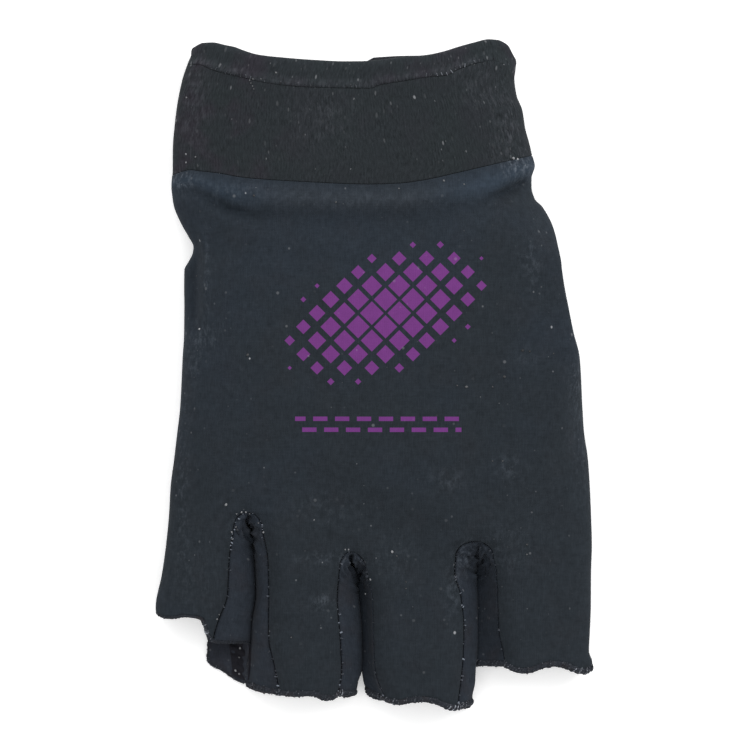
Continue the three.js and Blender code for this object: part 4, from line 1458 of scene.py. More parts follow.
def lint(paint, across, along, share, spacing, size, strength, seed):
    """Specks of unlike size and brightness, one in some of the cells of a Voronoi pattern."""
    moved = paint.join(across + seed * SEED_SHIFT["across"], along - seed * SEED_SHIFT["along"])
    settings = {"voronoi_dimensions": "2D"}
    cells = add_node(paint.tree, "ShaderNodeTexVoronoi", settings, {"Vector": moved, "Scale": 1 / spacing})
    distance = Socket(paint, cells.outputs["Distance"]) * spacing
    # A cell's colour goes with its point's place in it, so the chances are drawn once more from it
    settings = {"noise_dimensions": "3D"}
    drawn = paint.node("TexWhiteNoise", settings, {"Vector": cells.outputs["Color"]}, "Color")
    chance, larger, brighter = paint.split(drawn)
    radius = size * (0.55 + larger * larger * 1.1)
    bright = (0.12 + paint.math("POWER", brighter, 4.0)) * strength
    return paint.ramp(distance / radius, 0.4, 1.0, 1.0, 0.0) * (chance < share) * bright


def grain(paint, across, along, fine, long):
    """Fine streaks along the cloth."""
    return paint.noise(paint.join(across / fine, along / long), roughness=0.6)


def knit_height(paint, across, along, wale, course):
    """The small hills of a knit: columns of loops, each row shifted a little against the next."""
    column = paint.math("SINE", across * (2 * math.pi / wale))
    row = paint.math("SINE", along * (2 * math.pi / course) + column * 1.2)
    return column * 0.5 + row * 0.3


# %% [markdown]
# ## The print
#
# The back carries a purple print, a field of diamonds that swells in the middle and two rows of short
# dashes under it. A maker would press it on through a screen. Here it is a mask that shader maths
# makes from the place on the back, so its edges stay sharp from near by and it needs no picture.

# %% Diamonds and dashes
PURPLE = linear(101, 50, 112)
PRINT_FIELD = {"x": 2.5, "y": 14.5, "half_length": 27.0, "half_width": 14.5, "turn": math.radians(24)}
DIAMOND_PITCH = 4.6
DASH_ROWS = [{"y": -10.6, "shift": 0.0}, {"y": -13.2, "shift": 2.6}]
DASH = {"from": -19.0, "to": 20.5, "pitch": 5.2, "length": 3.4, "height": 1.05}
DIAMOND_SIZE = 0.44  # half of the largest diamond's side, in pitches
SOFT_EDGE = (-0.006, 0.012)


def diamonds(paint, x, y):
    """The mask of the swelling field of diamonds."""
    sin, cos = math.sin(PRINT_FIELD["turn"]), math.cos(PRINT_FIELD["turn"])
    dx, dy = x - PRINT_FIELD["x"], y - PRINT_FIELD["y"]
    diagonal = (dx + dy) / (DIAMOND_PITCH * math.sqrt(2))
    other = (dy - dx) / (DIAMOND_PITCH * math.sqrt(2))
    cell_a, cell_b = paint.math("FLOOR", diagonal) + 0.5, paint.math("FLOOR", other) + 0.5
    centre_x = (cell_a - cell_b) * (DIAMOND_PITCH / math.sqrt(2))
    centre_y = (cell_a + cell_b) * (DIAMOND_PITCH / math.sqrt(2))
    length = (centre_x * cos + centre_y * sin) / PRINT_FIELD["half_length"]
    width = (centre_y * cos - centre_x * sin) / PRINT_FIELD["half_width"]
    swell = paint.math("SQRT", paint.math("MAXIMUM", 1 - length * length - width * width, 0.0))
    away_a, away_b = paint.math("ABSOLUTE", diagonal - cell_a), paint.math("ABSOLUTE", other - cell_b)
    return paint.ramp(swell * DIAMOND_SIZE - paint.math("MAXIMUM", away_a, away_b), *SOFT_EDGE)


def dashes(paint, x, y):
    """The mask of the two staggered rows of dashes."""
    total = None
    for row in DASH_ROWS:
        place = paint.math("WRAP", x + (row["shift"] + 100 * DASH["pitch"]), 0.0, DASH["pitch"])
        in_dash = paint.math("ABSOLUTE", place - DASH["pitch"] / 2) < DASH["length"] / 2
        in_row = paint.math("ABSOLUTE", y - row["y"]) < DASH["height"] / 2
        mask = in_dash * in_row * (x > DASH["from"]) * (x < DASH["to"])
        total = mask if total is None else total + mask
    return total


# %% Cloth material
SLATE = linear(36, 41, 46)
SLATE_BLUE = linear(37, 43, 50)
# Painted highlight on the roll beside the band: lighter and bluer than the cloth
ROLL_HIGHLIGHT = linear(45, 50, 56)
ROLL_HIGHLIGHT_BLUE = linear(43, 52, 62)
WARM = linear(43, 41, 44)
HAZE = linear(88, 95, 104)
LINT = linear(190, 192, 196)
MATT = {"Specular IOR Level": 0.06, "Sheen Weight": 0.02, "Sheen Roughness": 0.5}


def cloth_paint(name, first=SLATE, second=SLATE_BLUE, printed=False, lint_share=0.12, warm=0.1):
    paint = Paint(name)
    x, y, z = paint.coordinates()
    place = paint.join(x, y, z)
    across, along = paint.cloth_place()
    dust = paint.value("dust")
    blue = paint.ramp(paint.noise(place, 0.05, 2.0) + (y - x * 0.4) * 0.004, 0.35, 0.8)
    colour = paint.mix(blue, first, second)
    colour = paint.mix(paint.ramp(paint.noise(place, 0.16, 2.0), 0.45, 0.75) * warm, colour, WARM)
    # Painted highlight on the roll beside the band: bluer at its ends, lighter towards the right
    end = paint.ramp(paint.math("ABSOLUTE", x + 5), 12.0, 32.0)
    roll = paint.scale(paint.mix(end, ROLL_HIGHLIGHT, ROLL_HIGHLIGHT_BLUE), paint.ramp(x, 5.0, 30.0, 1.0, 1.14))
    colour = paint.mix(paint.value("on_roll") * 0.75, colour, roll)
    with_grain = grain(paint, across, along, fine=0.35, long=2.2)
    across_grain = grain(paint, along, across, fine=0.45, long=2.4)
    streaks = with_grain * 0.6 + across_grain * 0.4
    mottled = paint.noise(place, 0.7, 3.0) * 0.46 + paint.noise(place, 0.25, 2.0) * 0.2
    colour = paint.scale(colour, 0.14 + streaks + mottled)
    # Haze of dust, and painted light where the table lightens the webs' cheeks and the left fold's ridge
    dusty = paint.ramp(paint.noise(paint.join(across, along / 1.6), 0.7, 4.0, 0.8), 0.44, 0.7)
    colour = paint.mix(dusty * (0.02 + dust * 0.35 + dust * dust * 0.5), colour, HAZE)
    if printed:
        print_mask = paint.math("MINIMUM", diamonds(paint, x, y) + dashes(paint, x, y), 1.0)
        worn = paint.scale(PURPLE, 0.74 + streaks * 0.32 + paint.noise(place, 0.45, 2.0) * 0.2)
        colour = paint.mix(print_mask, colour, worn)
    fine_share, coarse_share = dust * 0.5 + lint_share * 0.8, dust * 0.3 + lint_share * 0.9
    fine = lint(paint, across, along, fine_share, spacing=2.2, size=0.32, strength=0.13, seed=1)
    coarse = lint(paint, across, along * 0.8, coarse_share, spacing=7.0, size=0.26, strength=0.45, seed=2)
    speckled = paint.math("MINIMUM", fine + coarse, 1.0)
    colour = paint.mix(speckled, colour, LINT)
    rough = 0.88 + paint.noise(place, 0.5) * 0.1
    if printed:
        rough = rough - print_mask * 0.16
    knit = knit_height(paint, across, along, wale=0.46, course=0.38)
    height = knit + streaks * 0.8 + speckled * 3.0
    bump = paint.node("Bump", None, {"Strength": 0.35, "Distance": 0.00006, "Height": height})
    return paint.finish(MATT, {"Base Color": colour, "Roughness": rough, "Normal": bump})


# %% [markdown]
# ## Ribbed knit
#
# The band is a coarser knit with ribs along the wrist. It looks greyer than the hand's cloth, and its
# streaks are much stronger, because dust and lint catch between the ribs. The ribs follow the UV map
# round the wrist, so they don't stretch where the band turns under.

# %% Knit material
KNIT = linear(36, 40, 43)
KNIT_WARM = linear(41, 39, 45)
KNIT_COOL = linear(36, 41, 43)
KNIT_HAZE = linear(80, 82, 88)
RIB_PITCH = 0.64


def knit_paint(name, lint_share, contrast=1.0, light=1.0, warm=0.15):
    paint = Paint(name)
    x, y, z = paint.coordinates()
    place = paint.join(x, y, z)
    across, along = paint.cloth_place()
    dust = paint.value("dust")
    at_left = paint.ramp(x, -36.0, -14.0, 0.8, warm)
    colour = paint.mix(paint.ramp(paint.noise(place, 0.1, 3.0), 0.42, 0.62) * at_left, KNIT, KNIT_WARM)
    cool = paint.ramp(paint.noise(paint.join(x + 50, y, z), 0.12, 3.0), 0.45, 0.7) * 0.6
    colour = paint.mix(cool, colour, KNIT_COOL)
    rib = paint.math("SINE", across * (2 * math.pi / RIB_PITCH))
    patchy = paint.ramp(paint.noise(place, 0.16, 2.0), 0.4, 0.65)
    streaks = grain(paint, across, along, fine=0.22, long=0.8)
    broad = grain(paint, across, along, fine=0.42, long=1.6)
    ribbed = paint.ramp(paint.noise(paint.join(across, along / 2), 0.3, 2.0), 0.4, 0.65)
    rough_spots = 0.7 + (patchy + dust) * 0.6
    shade = (streaks - 0.5) * 0.65 + (broad - 0.5) * 1.2 * rough_spots + rib * ribbed * 0.05
    colour = paint.scale(colour, shade * contrast + light)
    dusty = paint.ramp(paint.noise(paint.join(across / 0.5, along / 1.6), 0.5, 4.0, 0.8), 0.44, 0.74)
    colour = paint.mix(dusty * (0.04 + dust * 0.62), colour, KNIT_HAZE)
    share = (dust * 0.6 + lint_share) * (0.35 + patchy)
    fine = lint(paint, across, along * 0.45, share * 1.2, spacing=1.3, size=0.24, strength=0.16, seed=4)
    coarse = lint(paint, across, along * 0.7, share * 1.4, spacing=5.0, size=0.25, strength=0.32, seed=5)
    speckled = paint.math("MINIMUM", fine + coarse, 1.0)
    colour = paint.mix(speckled, colour, LINT)
    height = rib * ribbed * 0.8 + streaks * 2.2 + speckled * 3.0
    bump = paint.node("Bump", None, {"Strength": 0.5, "Distance": 0.0001, "Height": height})
    rough = 0.88 + streaks * 0.1
    return paint.finish(MATT, {"Base Color": colour, "Roughness": rough, "Normal": bump})


# %% Assign the cloth and knit
back_paint = cloth_paint("printed_stretch_cloth", printed=True)
plain_paint = cloth_paint("plain_stretch_cloth")
STRIP, STRIP_BLUE = linear(38, 43, 50), linear(40, 46, 55)
strip_paint = cloth_paint("side_strip_cloth", STRIP, STRIP_BLUE, lint_share=0.25, warm=0.35)
# The lining is the same dark slate cloth, painted lighter than the outside as painted light that lifts the
# shade in the little finger's opening
lightened_lining_paint = cloth_paint("cloth_lining", linear(42, 45, 52), linear(42, 48, 58), warm=0.8)
# Painted shade: the seams' spare cloth is darker than the cloth, for the dark band in the little finger's
# opening
painted_shade_seam_cloth_paint = cloth_paint("dark_seam_cloth", linear(30, 30, 35), linear(34, 33, 42), warm=0.5)
band_paint = knit_paint("ribbed_knit", lint_share=0.14)
hem_paint = knit_paint("folded_knit_hem", lint_share=0.5, contrast=1.1, light=1.14, warm=0.7)
FINISHES = {
    "back_cloth": (back_paint, lightened_lining_paint),
    "palm_cloth": (plain_paint, lightened_lining_paint),
    "thumb_cloth": (plain_paint, lightened_lining_paint),
    **{f"finger_strip_{n}": (strip_paint, lightened_lining_paint) for n in (1, 2, 3)},
    "turned_in_seam": (painted_shade_seam_cloth_paint, painted_shade_seam_cloth_paint),
    **{f"rolled_seam_{n}": (painted_shade_seam_cloth_paint, painted_shade_seam_cloth_paint) for n in (1, 2, 3)},
    "wrist_band_knit": (band_paint, band_paint),
    "wrist_hem_knit": (hem_paint,),
}
for name, paints in FINISHES.items():
    for paint in paints:
        pieces[name].data.materials.append(paint)
print("materials:", sorted(material.name for material in bpy.data.materials))

# %% [markdown]
# ## Thread
#
# Thread is twisted and slightly glossier than cloth. On this glove it is as dark as the cloth, but
# fluff hangs on some stitches and makes them light. Each stitch carries a number for its fluff, which
# the tree below stores, and the material uses it to pick the dark or the fluffy look.


# %% Thread material
def thread_paint(name, dark, light, whole, torn):
    """Dark thread with light fluff, which covers whole stitches or torn patches of them."""
    paint = Paint(name)
    x, y, z = paint.coordinates()
    place = paint.join(x, y, z)
    fibres = paint.noise(place, 2.6, 3.0, 0.7)
    fluffy = paint.ramp(paint.value("shade") * whole + (fibres - 0.5) * torn, 0.3, 1.05)
    reddish = paint.ramp(paint.noise(place, 0.35, 2.0), 0.5, 0.65) * 0.6
    # darker thread where the fluff is below 0
    darkening = paint.ramp(paint.value("shade"), -1.0, -0.3, 0.5, 1.0)
    dark_thread = paint.scale(paint.mix(reddish, dark, WARM), (0.5 + fibres) * darkening)
    light_fluff = paint.scale(light, paint.ramp(paint.value("shade"), 0.0, 1.2, 0.55, 1.2))
    colour = paint.mix(fluffy, dark_thread, light_fluff)
    bump = paint.node("Bump", None, {"Strength": 0.4, "Distance": 0.00005, "Height": fibres})
    constants = {"Roughness": 0.85, "Specular IOR Level": 0.12, "Sheen Weight": 0.02}
    return paint.finish(constants, {"Base Color": colour, "Normal": bump})


THREADS = table(
    "name dark light whole torn",
    ("overlock_thread", linear(39, 42, 48), linear(136, 140, 148), 0.5, 3.4),
    ("seam_thread", linear(30, 34, 40), linear(104, 110, 120), 0.9, 2.6),
    ("hem_stitch_thread", linear(36, 39, 43), linear(88, 91, 97), 0.8, 2.4),
)
overlock_paint, seam_paint, hem_stitch_paint = (thread_paint(**thread) for thread in THREADS)
print("threads:", ", ".join(thread["name"] for thread in THREADS))

# %% [markdown]
# ## Overlocked edges
#
# A finger opening is finished on an overlock machine, which trims the cloth and wraps thread round
# its edge, loop beside loop. That repeats, so Geometry Nodes make it: a cord runs along the edge and
# a ring of thread is put on it at every step, leaning a little, with small random differences.


# %% Geometry Nodes helper
class Recipe:
    """A Geometry Nodes tree with named inputs."""

    def __init__(self, name, inputs):
        self.tree = bpy.data.node_groups.new(name, "GeometryNodeTree")
        self.tree.interface.new_socket("Geometry", in_out="INPUT", socket_type="NodeSocketGeometry")
        for label, kind in inputs.items():
            self.tree.interface.new_socket(label, in_out="INPUT", socket_type="NodeSocket" + kind)
        self.tree.interface.new_socket("Geometry", in_out="OUTPUT", socket_type="NodeSocketGeometry")
        self.inputs = self.tree.nodes.new("NodeGroupInput").outputs

    def node(self, kind, settings=None, inputs=None, output=0):
        return add_node(self.tree, kind, settings, inputs).outputs[output]

    def random(self, low, high, seed):
        inputs = {2: low, 3: high, "Seed": seed}
        return self.node("FunctionNodeRandomValue", {"data_type": "FLOAT"}, inputs, 1)

    def wobble(self, amount, seed):
        """A random turn of up to an amount each way, about each axis."""
        inputs = {0: [-v for v in amount], 1: amount, "Seed": seed}
        spun = self.node("FunctionNodeRandomValue", {"data_type": "FLOAT_VECTOR"}, inputs, 0)
        return self.node("FunctionNodeEulerToRotation", None, {0: spun})

    def circle(self, resolution, radius):
        inputs = {"Resolution": resolution, "Radius": radius}
        return self.node("GeometryNodeCurvePrimitiveCircle", None, inputs)

    def resample(self, curve, length):
        inputs = {"Curve": curve, "Length": length}
        return self.node("GeometryNodeResampleCurve", {"mode": "LENGTH"}, inputs)

    def turn(self, first, second):
        return self.node("FunctionNodeRotateRotation", {"rotation_space": "LOCAL"}, {0: first, 1: second})

    def angle(self, axis, amount):
        return self.node("FunctionNodeAxisAngleToRotation", None, {"Axis": axis, "Angle": amount})

    def add_shade(self, instances, seed):
        """Gives each instance a number for its fluff: random, and higher where the line has fluff."""
        fluff = self.node("GeometryNodeInputNamedAttribute", {"data_type": "FLOAT"}, {"Name": "fluff"})
        inputs = {0: self.random(-0.5, 0.5, seed), 1: fluff}
        shade = self.node("ShaderNodeMath", {"operation": "ADD"}, inputs)
        settings = {"data_type": "FLOAT", "domain": "INSTANCE"}
        inputs = {"Geometry": instances, "Name": "shade", "Value": shade}
        return self.node("GeometryNodeStoreNamedAttribute", settings, inputs)

    def finish(self, parts):
        """Joins the parts, makes them real, and gives them the material that is asked for."""
        joined = add_node(self.tree, "GeometryNodeJoinGeometry")
        for part in parts:
            self.tree.links.new(part, joined.inputs[0])
        real = self.node("GeometryNodeRealizeInstances", None, {0: joined.outputs[0]})
        smooth = self.node("GeometryNodeSetShadeSmooth", None, {0: real})
        inputs = {"Geometry": smooth, "Material": self.inputs["Material"]}
        dressed = self.node("GeometryNodeSetMaterial", None, inputs)
        add_node(self.tree, "NodeGroupOutput", None, {0: dressed})
        return self.tree


CORD_STEP = 0.0006  # metres between the sections of the cord under the loops
LOOP_WOBBLE = (0.28, 0.28, 0.5)  # radians
LOOP_SIZES = (0.86, 1.26)


def overlock_recipe():
    """Loops of thread round a cord that follows the edge."""
    recipe = Recipe("overlocked_edge", {
        "Roll Radius": "Float", "Thread Radius": "Float", "Pitch": "Float", "Lean": "Float",
        "Seed": "Int", "Material": "Material",
    })
    given = recipe.inputs
    edge = recipe.node("GeometryNodeMeshToCurve", None, {0: given["Geometry"]})
    profile = recipe.circle(10, given["Roll Radius"])
    inputs = {"Curve": recipe.resample(edge, CORD_STEP), "Profile Curve": profile}
    cord = recipe.node("GeometryNodeCurveToMesh", None, inputs)
    ring, thread = recipe.circle(14, given["Roll Radius"]), recipe.circle(5, given["Thread Radius"])
    inputs = {"Curve": ring, "Profile Curve": thread}
    loop = recipe.node("GeometryNodeCurveToMesh", None, inputs)
    tangent = recipe.node("GeometryNodeInputTangent")
    facing = recipe.node("FunctionNodeAlignRotationToVector", {"axis": "Z"}, {"Vector": tangent})
    leaning = recipe.turn(facing, recipe.angle((1.0, 0.0, 0.0), given["Lean"]))
    inputs = {
        "Points": recipe.resample(edge, given["Pitch"]),
        "Instance": loop,
        "Rotation": recipe.turn(leaning, recipe.wobble(LOOP_WOBBLE, given["Seed"])),
        "Scale": recipe.random(*LOOP_SIZES, given["Seed"]),
    }
    loops = recipe.node("GeometryNodeInstanceOnPoints", None, inputs)
    return recipe.finish([cord, recipe.add_shade(loops, given["Seed"])])


OVERLOCK = overlock_recipe()


# %% Run a recipe
FLUFF_EVERYWHERE = 0.12


def line_object(name, points, closed, up=None):
    """A string of points joined by edges, in metres, which a recipe works along."""
    count = len(points)
    edges = [(i, i + 1) for i in range(count - 1)] + ([(count - 1, 0)] if closed else [])
    mesh = bpy.data.meshes.new(name)
    mesh.from_pydata((points * MM).tolist(), edges, [])
    add_value(mesh, "fluff", gathered(FLUFF, points[:, 0], points[:, 1]) + FLUFF_EVERYWHERE)
    if up is not None:
        attribute = mesh.attributes.new("up", "FLOAT_VECTOR", "POINT")
        attribute.data.foreach_set("vector", up.astype(np.float32).ravel())
    return add_object(name, mesh)


def run_recipe(made, tree, values):
    """Puts a tree on an object, sets its inputs, and turns the result into a plain mesh."""
    modifier = made.modifiers.new("recipe", "NODES")
    modifier.node_group = tree
    for item in tree.interface.items_tree:
        if item.in_out == "INPUT" and item.name in values:
            modifier[item.identifier] = values[item.name]
    evaluated = made.evaluated_get(bpy.context.evaluated_depsgraph_get())
    mesh = bpy.data.meshes.new_from_object(evaluated)
    made.modifiers.clear()
    mesh.name = made.name
    made.data = mesh
    report(made)
    return made


# %% Paths of the overlocked edges
def even_path(points, step):
    """The same closed path with evenly spaced points, a little smoothed."""
    points = np.vstack([points, points[:1]])
    lengths = lengths_along(points)
    at = np.linspace(0, lengths[-1], int(lengths[-1] / step) + 1)[:-1]
    even = values_at(at, lengths, points)
    for _ in range(2):
        even = (np.roll(even, 1, axis=0) + 2 * even + np.roll(even, -1, axis=0)) / 4
    return even


# How far the middle of an edge's roll is beyond the cloth and over the floor, in the roll's radii
RIM_BEYOND, RIM_LOWEST = 0.45, 1.15
RIM_STEP = 0.5


def rim_path(points, inward, radius):
    """The middle line of a roll that sits on the edge of a tube of cloth."""
    along = unit(np.roll(points, -1, axis=0) - np.roll(points, 1, axis=0))
    beyond = unit(np.cross(along, -inward))
    middle = points + inward * CLOTH * 0.5 + beyond * radius * RIM_BEYOND
    middle[:, 2] = np.maximum(middle[:, 2], radius * RIM_LOWEST)
    return even_path(middle, RIM_STEP)


def finger_rim(finger):
    """The points and ways in round a finger's opening: back, strip, palm and strip."""
    parts = [(back, back.strips[finger][-1])]
    if finger < 3:
        parts.append((strips[finger], strips[finger].grid[0][1:-1]))
    parts.append((palm, palm.strips[finger][-1][::-1]))
    if finger:
        parts.append((strips[finger - 1], strips[finger - 1].grid[-1][1:-1][::-1]))
    points = np.concatenate([sheet.points[numbers] for sheet, numbers in parts])
    inward = np.concatenate([sheet.inward[numbers] for sheet, numbers in parts])
    apart = np.linalg.norm(points - np.roll(points, 1, axis=0), axis=1) > 0.12
    return points[apart], inward[apart]


def overlock(name, points, inward, radius, seed):
    """The finished edge of one opening."""
    edge = line_object(name, rim_path(points, inward, radius), True)
    sizes = {
        "Roll Radius": 0.82 * radius * MM, "Thread Radius": 0.11 * MM, "Pitch": 0.42 * MM, "Lean": 0.35,
        "Material": overlock_paint, "Seed": seed,
    }
    return run_recipe(edge, OVERLOCK, sizes)


for finger in range(4):
    name = f"finger_edge_{finger + 1}"
    pieces[name] = overlock(name, *finger_rim(finger), HEM_RADII[finger], 20 + finger)
thumb_rim = np.arange(len(thumb.points) - THUMB_POINTS, len(thumb.points))
thumb_ends = thumb.points[thumb_rim], thumb.inward[thumb_rim]
pieces["thumb_edge"] = overlock("thumb_edge", *thumb_ends, THUMB_HEM_RADIUS, 30)

# %% [markdown]
# ## Stitches
#
# Two kinds show. Short threads cross the seams beside the fingers like the rungs of a ladder, and a
# row of stitches holds the wrist hem down. Both are the same thing: a bent piece of thread put across
# a line at every step, so one tree makes both.


# %% Stitch tree
STITCH_WOBBLE = (0.1, 0.15, 0.4)  # radians
STITCH_SIZES = (0.3, 1.35)


def stitch_recipe():
    """Bent pieces of thread across a line, each scattered a little about it."""
    recipe = Recipe("row_of_stitches", {
        "Length": "Float", "Rise": "Float", "Thread Radius": "Float", "Pitch": "Float", "Turn": "Float",
        "Scatter": "Float", "Seed": "Int", "Material": "Material",
    })
    given = recipe.inputs
    line = recipe.node("GeometryNodeMeshToCurve", None, {0: given["Geometry"]})
    half = recipe.node("ShaderNodeMath", {"operation": "MULTIPLY"}, {0: given["Length"], 1: 0.5})
    other = recipe.node("ShaderNodeMath", {"operation": "MULTIPLY"}, {0: given["Length"], 1: -0.5})
    start = recipe.node("ShaderNodeCombineXYZ", None, {0: other})
    middle = recipe.node("ShaderNodeCombineXYZ", None, {2: given["Rise"]})
    end = recipe.node("ShaderNodeCombineXYZ", None, {0: half})
    inputs = {"Resolution": 5, "Start": start, "Middle": middle, "End": end}
    bent = recipe.node("GeometryNodeCurveQuadraticBezier", None, inputs)
    thread = recipe.circle(5, given["Thread Radius"])
    inputs = {"Curve": bent, "Profile Curve": thread, "Fill Caps": True}
    stitch = recipe.node("GeometryNodeCurveToMesh", None, inputs)
    tangent = recipe.node("GeometryNodeInputTangent")
    up = recipe.node("GeometryNodeInputNamedAttribute", {"data_type": "FLOAT_VECTOR"}, {"Name": "up"})
    facing = recipe.node("FunctionNodeAlignRotationToVector", {"axis": "Z"}, {"Vector": up})
    settings, inputs = {"axis": "X", "pivot_axis": "Z"}, {"Rotation": facing, "Vector": tangent}
    along = recipe.node("FunctionNodeAlignRotationToVector", settings, inputs)
    turned = recipe.turn(along, recipe.angle((0.0, 0.0, 1.0), given["Turn"]))
    inputs = {0: (-1.0, -1.0, 0.0), 1: (1.0, 1.0, 0.0), "Seed": given["Seed"]}
    aside = recipe.node("FunctionNodeRandomValue", {"data_type": "FLOAT_VECTOR"}, inputs, 0)
    inputs = {0: aside, "Scale": given["Scatter"]}
    offset = recipe.node("ShaderNodeVectorMath", {"operation": "SCALE"}, inputs)
    inputs = {"Geometry": recipe.resample(line, given["Pitch"]), "Offset": offset}
    inputs = {
        "Points": recipe.node("GeometryNodeSetPosition", None, inputs),
        "Instance": stitch,
        "Rotation": recipe.turn(turned, recipe.wobble(STITCH_WOBBLE, given["Seed"])),
        "Scale": recipe.random(*STITCH_SIZES, given["Seed"]),
    }
    placed = recipe.node("GeometryNodeInstanceOnPoints", None, inputs)
    return recipe.finish([recipe.add_shade(placed, given["Seed"])])


STITCHES = stitch_recipe()


# %% Rungs along the finger gaps
def smooth_line(points, up, step=0.4):
    """A line and its way up, evenly spaced."""
    lengths = lengths_along(points)
    at = np.linspace(0, lengths[-1], int(lengths[-1] / step))
    return values_at(at, lengths, points), unit(values_at(at, lengths, up))


RUNG_SIZES = {
    "Length": 0.45 * MM, "Rise": 0.16 * MM, "Thread Radius": 0.16 * MM, "Pitch": 0.75 * MM,
    "Turn": math.pi / 2, "Scatter": 0.42 * MM, "Material": seam_paint,
}
RUNG_SINK = 0.12  # under the cloth's face
for gap in range(3):
    numbers = gap_edge(back, gap)
    up = -unit(back.inward[numbers])
    line, line_up = smooth_line(back.points[numbers] - up * RUNG_SINK, up)
    name = f"gap_stitches_{gap + 1}"
    row = line_object(name, line, False, line_up)
    pieces[name] = run_recipe(row, STITCHES, {**RUNG_SIZES, "Seed": 40 + gap})

# %% Stitches of the wrist hem
STITCH_FROM_LINE = 0.5
STITCHED_SHARE = 0.87  # of the back's width, because the sides' stitches sink into the knit
stitch_y = hem_y - hem_wide + STITCH_FROM_LINE
hem_sheet_points = wrist_points(stitch_y)
two_rings = wrist_points(np.stack([stitch_y + 1, stitch_y])).reshape(-1, 3)
hem_ring = Sheet(two_rings, tube_quads(2, 2 * AROUND), np.zeros((4 * AROUND, 2)))
hem_up = unit(hem_ring.normals[2 * AROUND :])
on_top = ON_BACK & (np.abs(ROUND_SHARES) < STITCHED_SHARE)
line, line_up = smooth_line(hem_sheet_points[on_top] + hem_up[on_top] * 0.1, hem_up[on_top])
row = line_object("wrist_hem_stitches", line, False, line_up)
HEM_STITCH_SIZES = {
    "Length": 0.7 * MM, "Rise": 0.15 * MM, "Thread Radius": 0.13 * MM, "Pitch": 1.2 * MM,
    "Turn": math.pi / 2, "Scatter": 0.1 * MM, "Material": hem_stitch_paint, "Seed": 50,
}
pieces["wrist_hem_stitches"] = run_recipe(row, STITCHES, HEM_STITCH_SIZES)

# %% [markdown]
# ## Tufts of lint
#
# Some specks on a used glove are more than a light spot in the cloth: small tufts of lint that lie on
# it. They are placed by a table, as a maker would drop them with tweezers. Each is a ball of forty
# faces, pressed flat and turned at random. Its size and its tone, from dark to light, are in the
# table. The last ones lie inside the little finger's opening, on the palm.

# %% Table of the tufts
TUFTS = table(
    "x y size tone inside",
    (-41.9, 10.8, 0.30, 0.52), (-42.7, 23.5, 0.22, 0.10), (-30.3, 4.6, 0.38, 0.11),
    (-35.5, -31.1, 0.38, 0.38), (-20.0, -62.8, 0.22, 0.13), (-14.5, -34.7, 0.22, 0.32),
    (4.1, -42.3, 0.38, 0.40), (5.2, -43.3, 0.22, 0.14), (7.4, -49.5, 0.22, 0.09),
    (7.4, -51.1, 0.22, 0.10), (36.2, -40.6, 0.30, 0.10), (36.2, -43.0, 0.22, 0.20),
    (21.7, -3.0, 0.38, 0.18), (19.5, -2.7, 0.22, 0.13), (27.9, -3.0, 0.22, 0.13),
    (30.7, -0.6, 0.38, 0.10), (35.0, 5.6, 0.38, 0.07), (36.7, 5.4, 0.30, 0.07), (42.4, 4.9, 0.22, 0.09),
    (27.9, -20.6, 0.22, 0.11), (30.3, -20.6, 0.22, 0.14), (33.1, 51.6, 0.38, 0.43),
    (34.1, 51.4, 0.30, 0.55), (16.4, 46.1, 0.30, 0.24), (21.2, 45.2, 0.22, 0.23),
    (5.7, 44.2, 0.22, 0.22), (-9.3, 40.9, 0.30, 0.13), (-28.8, 42.5, 0.30, 0.10),
    (-23.6, 71.9, 0.30, 0.26), (-17.6, 72.8, 0.22, 0.16), (-29.1, 70.4, 0.22, 0.23),
    (-27.2, 70.4, 0.22, 0.18), (-45.2, 52.6, 0.28, 0.32), (-42.9, 51.9, 0.24, 0.24),
    (-45.2, 50.6, 0.26, 0.30), (-45.1, 66.2, 0.26, 0.26), (-29.9, 70.1, 0.20, 0.22),
    (-29.6, 69.4, 0.20, 0.18), (-29.2, 68.7, 0.20, 0.20), (-28.9, 68.0, 0.20, 0.16),
    (-37.8, -58.6, 0.26, 0.30), (-37.3, -57.5, 0.20, 0.20), (-33.0, -33.3, 0.24, 0.30),
    (-31.8, -32.9, 0.26, 0.42), (-30.8, -32.9, 0.26, 0.38), (-29.9, -33.3, 0.22, 0.20),
    (-33.2, -36.5, 0.22, 0.25), (-34.2, -37.7, 0.28, 0.35), (-34.1, -39.4, 0.24, 0.25),
    (-27.8, -35.5, 0.22, 0.20), (-26.6, -37.7, 0.30, 0.38), (-7.1, -41.8, 0.22, 0.35),
    (-6.3, -41.8, 0.24, 0.35), (-1.1, -49.0, 0.28, 0.40), (-2.3, -52.5, 0.22, 0.25),
    (-32.5, -66.0, 0.35, 0.42, True), (-32.7, -68.2, 0.28, 0.20, True),
    (-33.5, -70.2, 0.32, 0.34, True), (-33.6, -71.4, 0.34, 0.40, True),
    (-32.7, -72.2, 0.30, 0.25, True), (-31.0, -72.4, 0.24, 0.12, True),
)


# %% Tufts
TUFT_SHAPE = (1.0, 0.8, 0.5)
TUFT_WOBBLE = (0.2, 0.2, 3.1)  # radians, so a tuft may point any way
TUFT_RISE = {"everywhere": 0.05, "inside": 0.3}


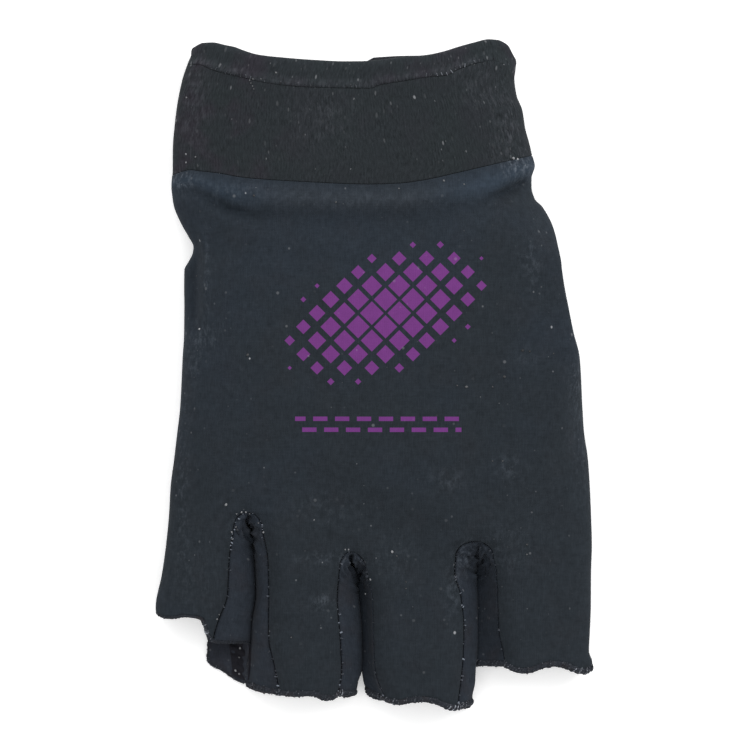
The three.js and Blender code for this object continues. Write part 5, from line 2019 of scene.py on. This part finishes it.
def tuft_recipe():
    """A flat ball of lint at each point, as large as the point says."""
    recipe = Recipe("tufts_of_lint", {"Seed": "Int", "Material": "Material"})
    given = recipe.inputs
    inputs = {"Segments": 8, "Rings": 5, "Radius": MM}
    ball = recipe.node("GeometryNodeMeshUVSphere", None, inputs)
    size = recipe.node("GeometryNodeInputNamedAttribute", {"data_type": "FLOAT"}, {"Name": "size"})
    inputs = {0: TUFT_SHAPE, "Scale": size}
    pressed = recipe.node("ShaderNodeVectorMath", {"operation": "SCALE"}, inputs)
    inputs = {
        "Points": given["Geometry"],
        "Instance": ball,
        "Rotation": recipe.wobble(TUFT_WOBBLE, given["Seed"]),
        "Scale": pressed,
    }
    return recipe.finish([recipe.node("GeometryNodeInstanceOnPoints", None, inputs)])


def tuft_paint():
    paint = Paint("lint_tuft")
    x, y, z = paint.coordinates()
    fibres = paint.noise(paint.join(x, y, z), 4.0, 2.0)
    colour = paint.scale(LINT, paint.value("tone") * (0.5 + fibres))
    return paint.finish({"Roughness": 0.95, "Specular IOR Level": 0.05}, {"Base Color": colour})


x, y = (np.array([row[name] for row in TUFTS]) for name in ("x", "y"))
inside = np.array([row.get("inside", False) for row in TUFTS])
on_back = np.where(y > band_seam["back"](x), back_height(x, y), panel_height("back", x, y))
lining = panel_height("palm", x, y) + CLOTH
z = np.where(inside, lining + TUFT_RISE["inside"], on_back) + TUFT_RISE["everywhere"]
tufts = line_object("lint_tufts", np.stack([x, y, z], axis=1), False)
for name in ("size", "tone"):
    add_value(tufts.data, name, [row[name] for row in TUFTS])
pieces["lint_tufts"] = run_recipe(tufts, tuft_recipe(), {"Seed": 60, "Material": tuft_paint()})

# %% [markdown]
# ## Which piece stands for which solid
#
# Every piece rides on the glove's one body, and each of the main ones hides the solid that it stands
# for. The stitches, the lint and the seams' spare cloth hide nothing.

# %% Table of the pieces
BODY = next(iter(frame["bodies"]))
STANDS_FOR = {
    "back_cloth": ("back_panel", "stretch_cloth"),
    "palm_cloth": ("palm_panel", "stretch_cloth"),
    "thumb_cloth": ("thumb_sleeve", "stretch_cloth"),
    "thumb_edge": ("thumb_hem", "hem_thread"),
    "wrist_band_knit": ("wrist_band", "knit_band"),
    "wrist_hem_knit": ("wrist_hem", "knit_band"),
    "wrist_hem_stitches": (None, "hem_thread"),
    "lint_tufts": (None, "hem_thread"),
    "turned_in_seam": (None, "wall_cloth"),
    **{f"finger_strip_{n}": (f"finger_wall_{n}", "wall_cloth") for n in (1, 2, 3)},
    **{f"rolled_seam_{n}": (None, "wall_cloth") for n in (1, 2, 3)},
    **{f"gap_stitches_{n}": (None, "hem_thread") for n in (1, 2, 3)},
    **{f"finger_edge_{n}": (f"finger_hem_{n}", "hem_thread") for n in (1, 2, 3, 4)},
}
for name, piece in pieces.items():
    node, slot = STANDS_FOR[name]
    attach(piece, BODY)
    if node:
        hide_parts(node)
print("pieces:", len(pieces))

# %% [markdown]
# ## The floor
#
# The glove lies on a large pale sheet, which glows a little so that it is as white as the picture's
# ground. Brighter lights would do the same, but they would wash out the dark cloth as well. The sheet
# is a hair lower than the glove's underside, because two faces in one place flicker in a render.

# %% Floor
FLOOR_HALF = 1.5
FLOOR_DROP = 0.00005
signs = [(-1, -1), (1, -1), (1, 1), (-1, 1)]
corners = [(x * FLOOR_HALF, y * FLOOR_HALF, -FLOOR_DROP) for x, y in signs]
floor_mesh = bpy.data.meshes.new("floor")
floor_mesh.from_pydata(corners, [], [(0, 1, 2, 3)])
floor = add_object("floor", floor_mesh)
floor_look = {
    "Base Color": (0.97, 0.97, 0.97, 1.0), "Roughness": 0.9,
    "Emission Color": (1.0, 1.0, 1.0, 1.0), "Emission Strength": 0.3,
}
floor_mesh.materials.append(Paint("pale_floor").finish(floor_look, {}))
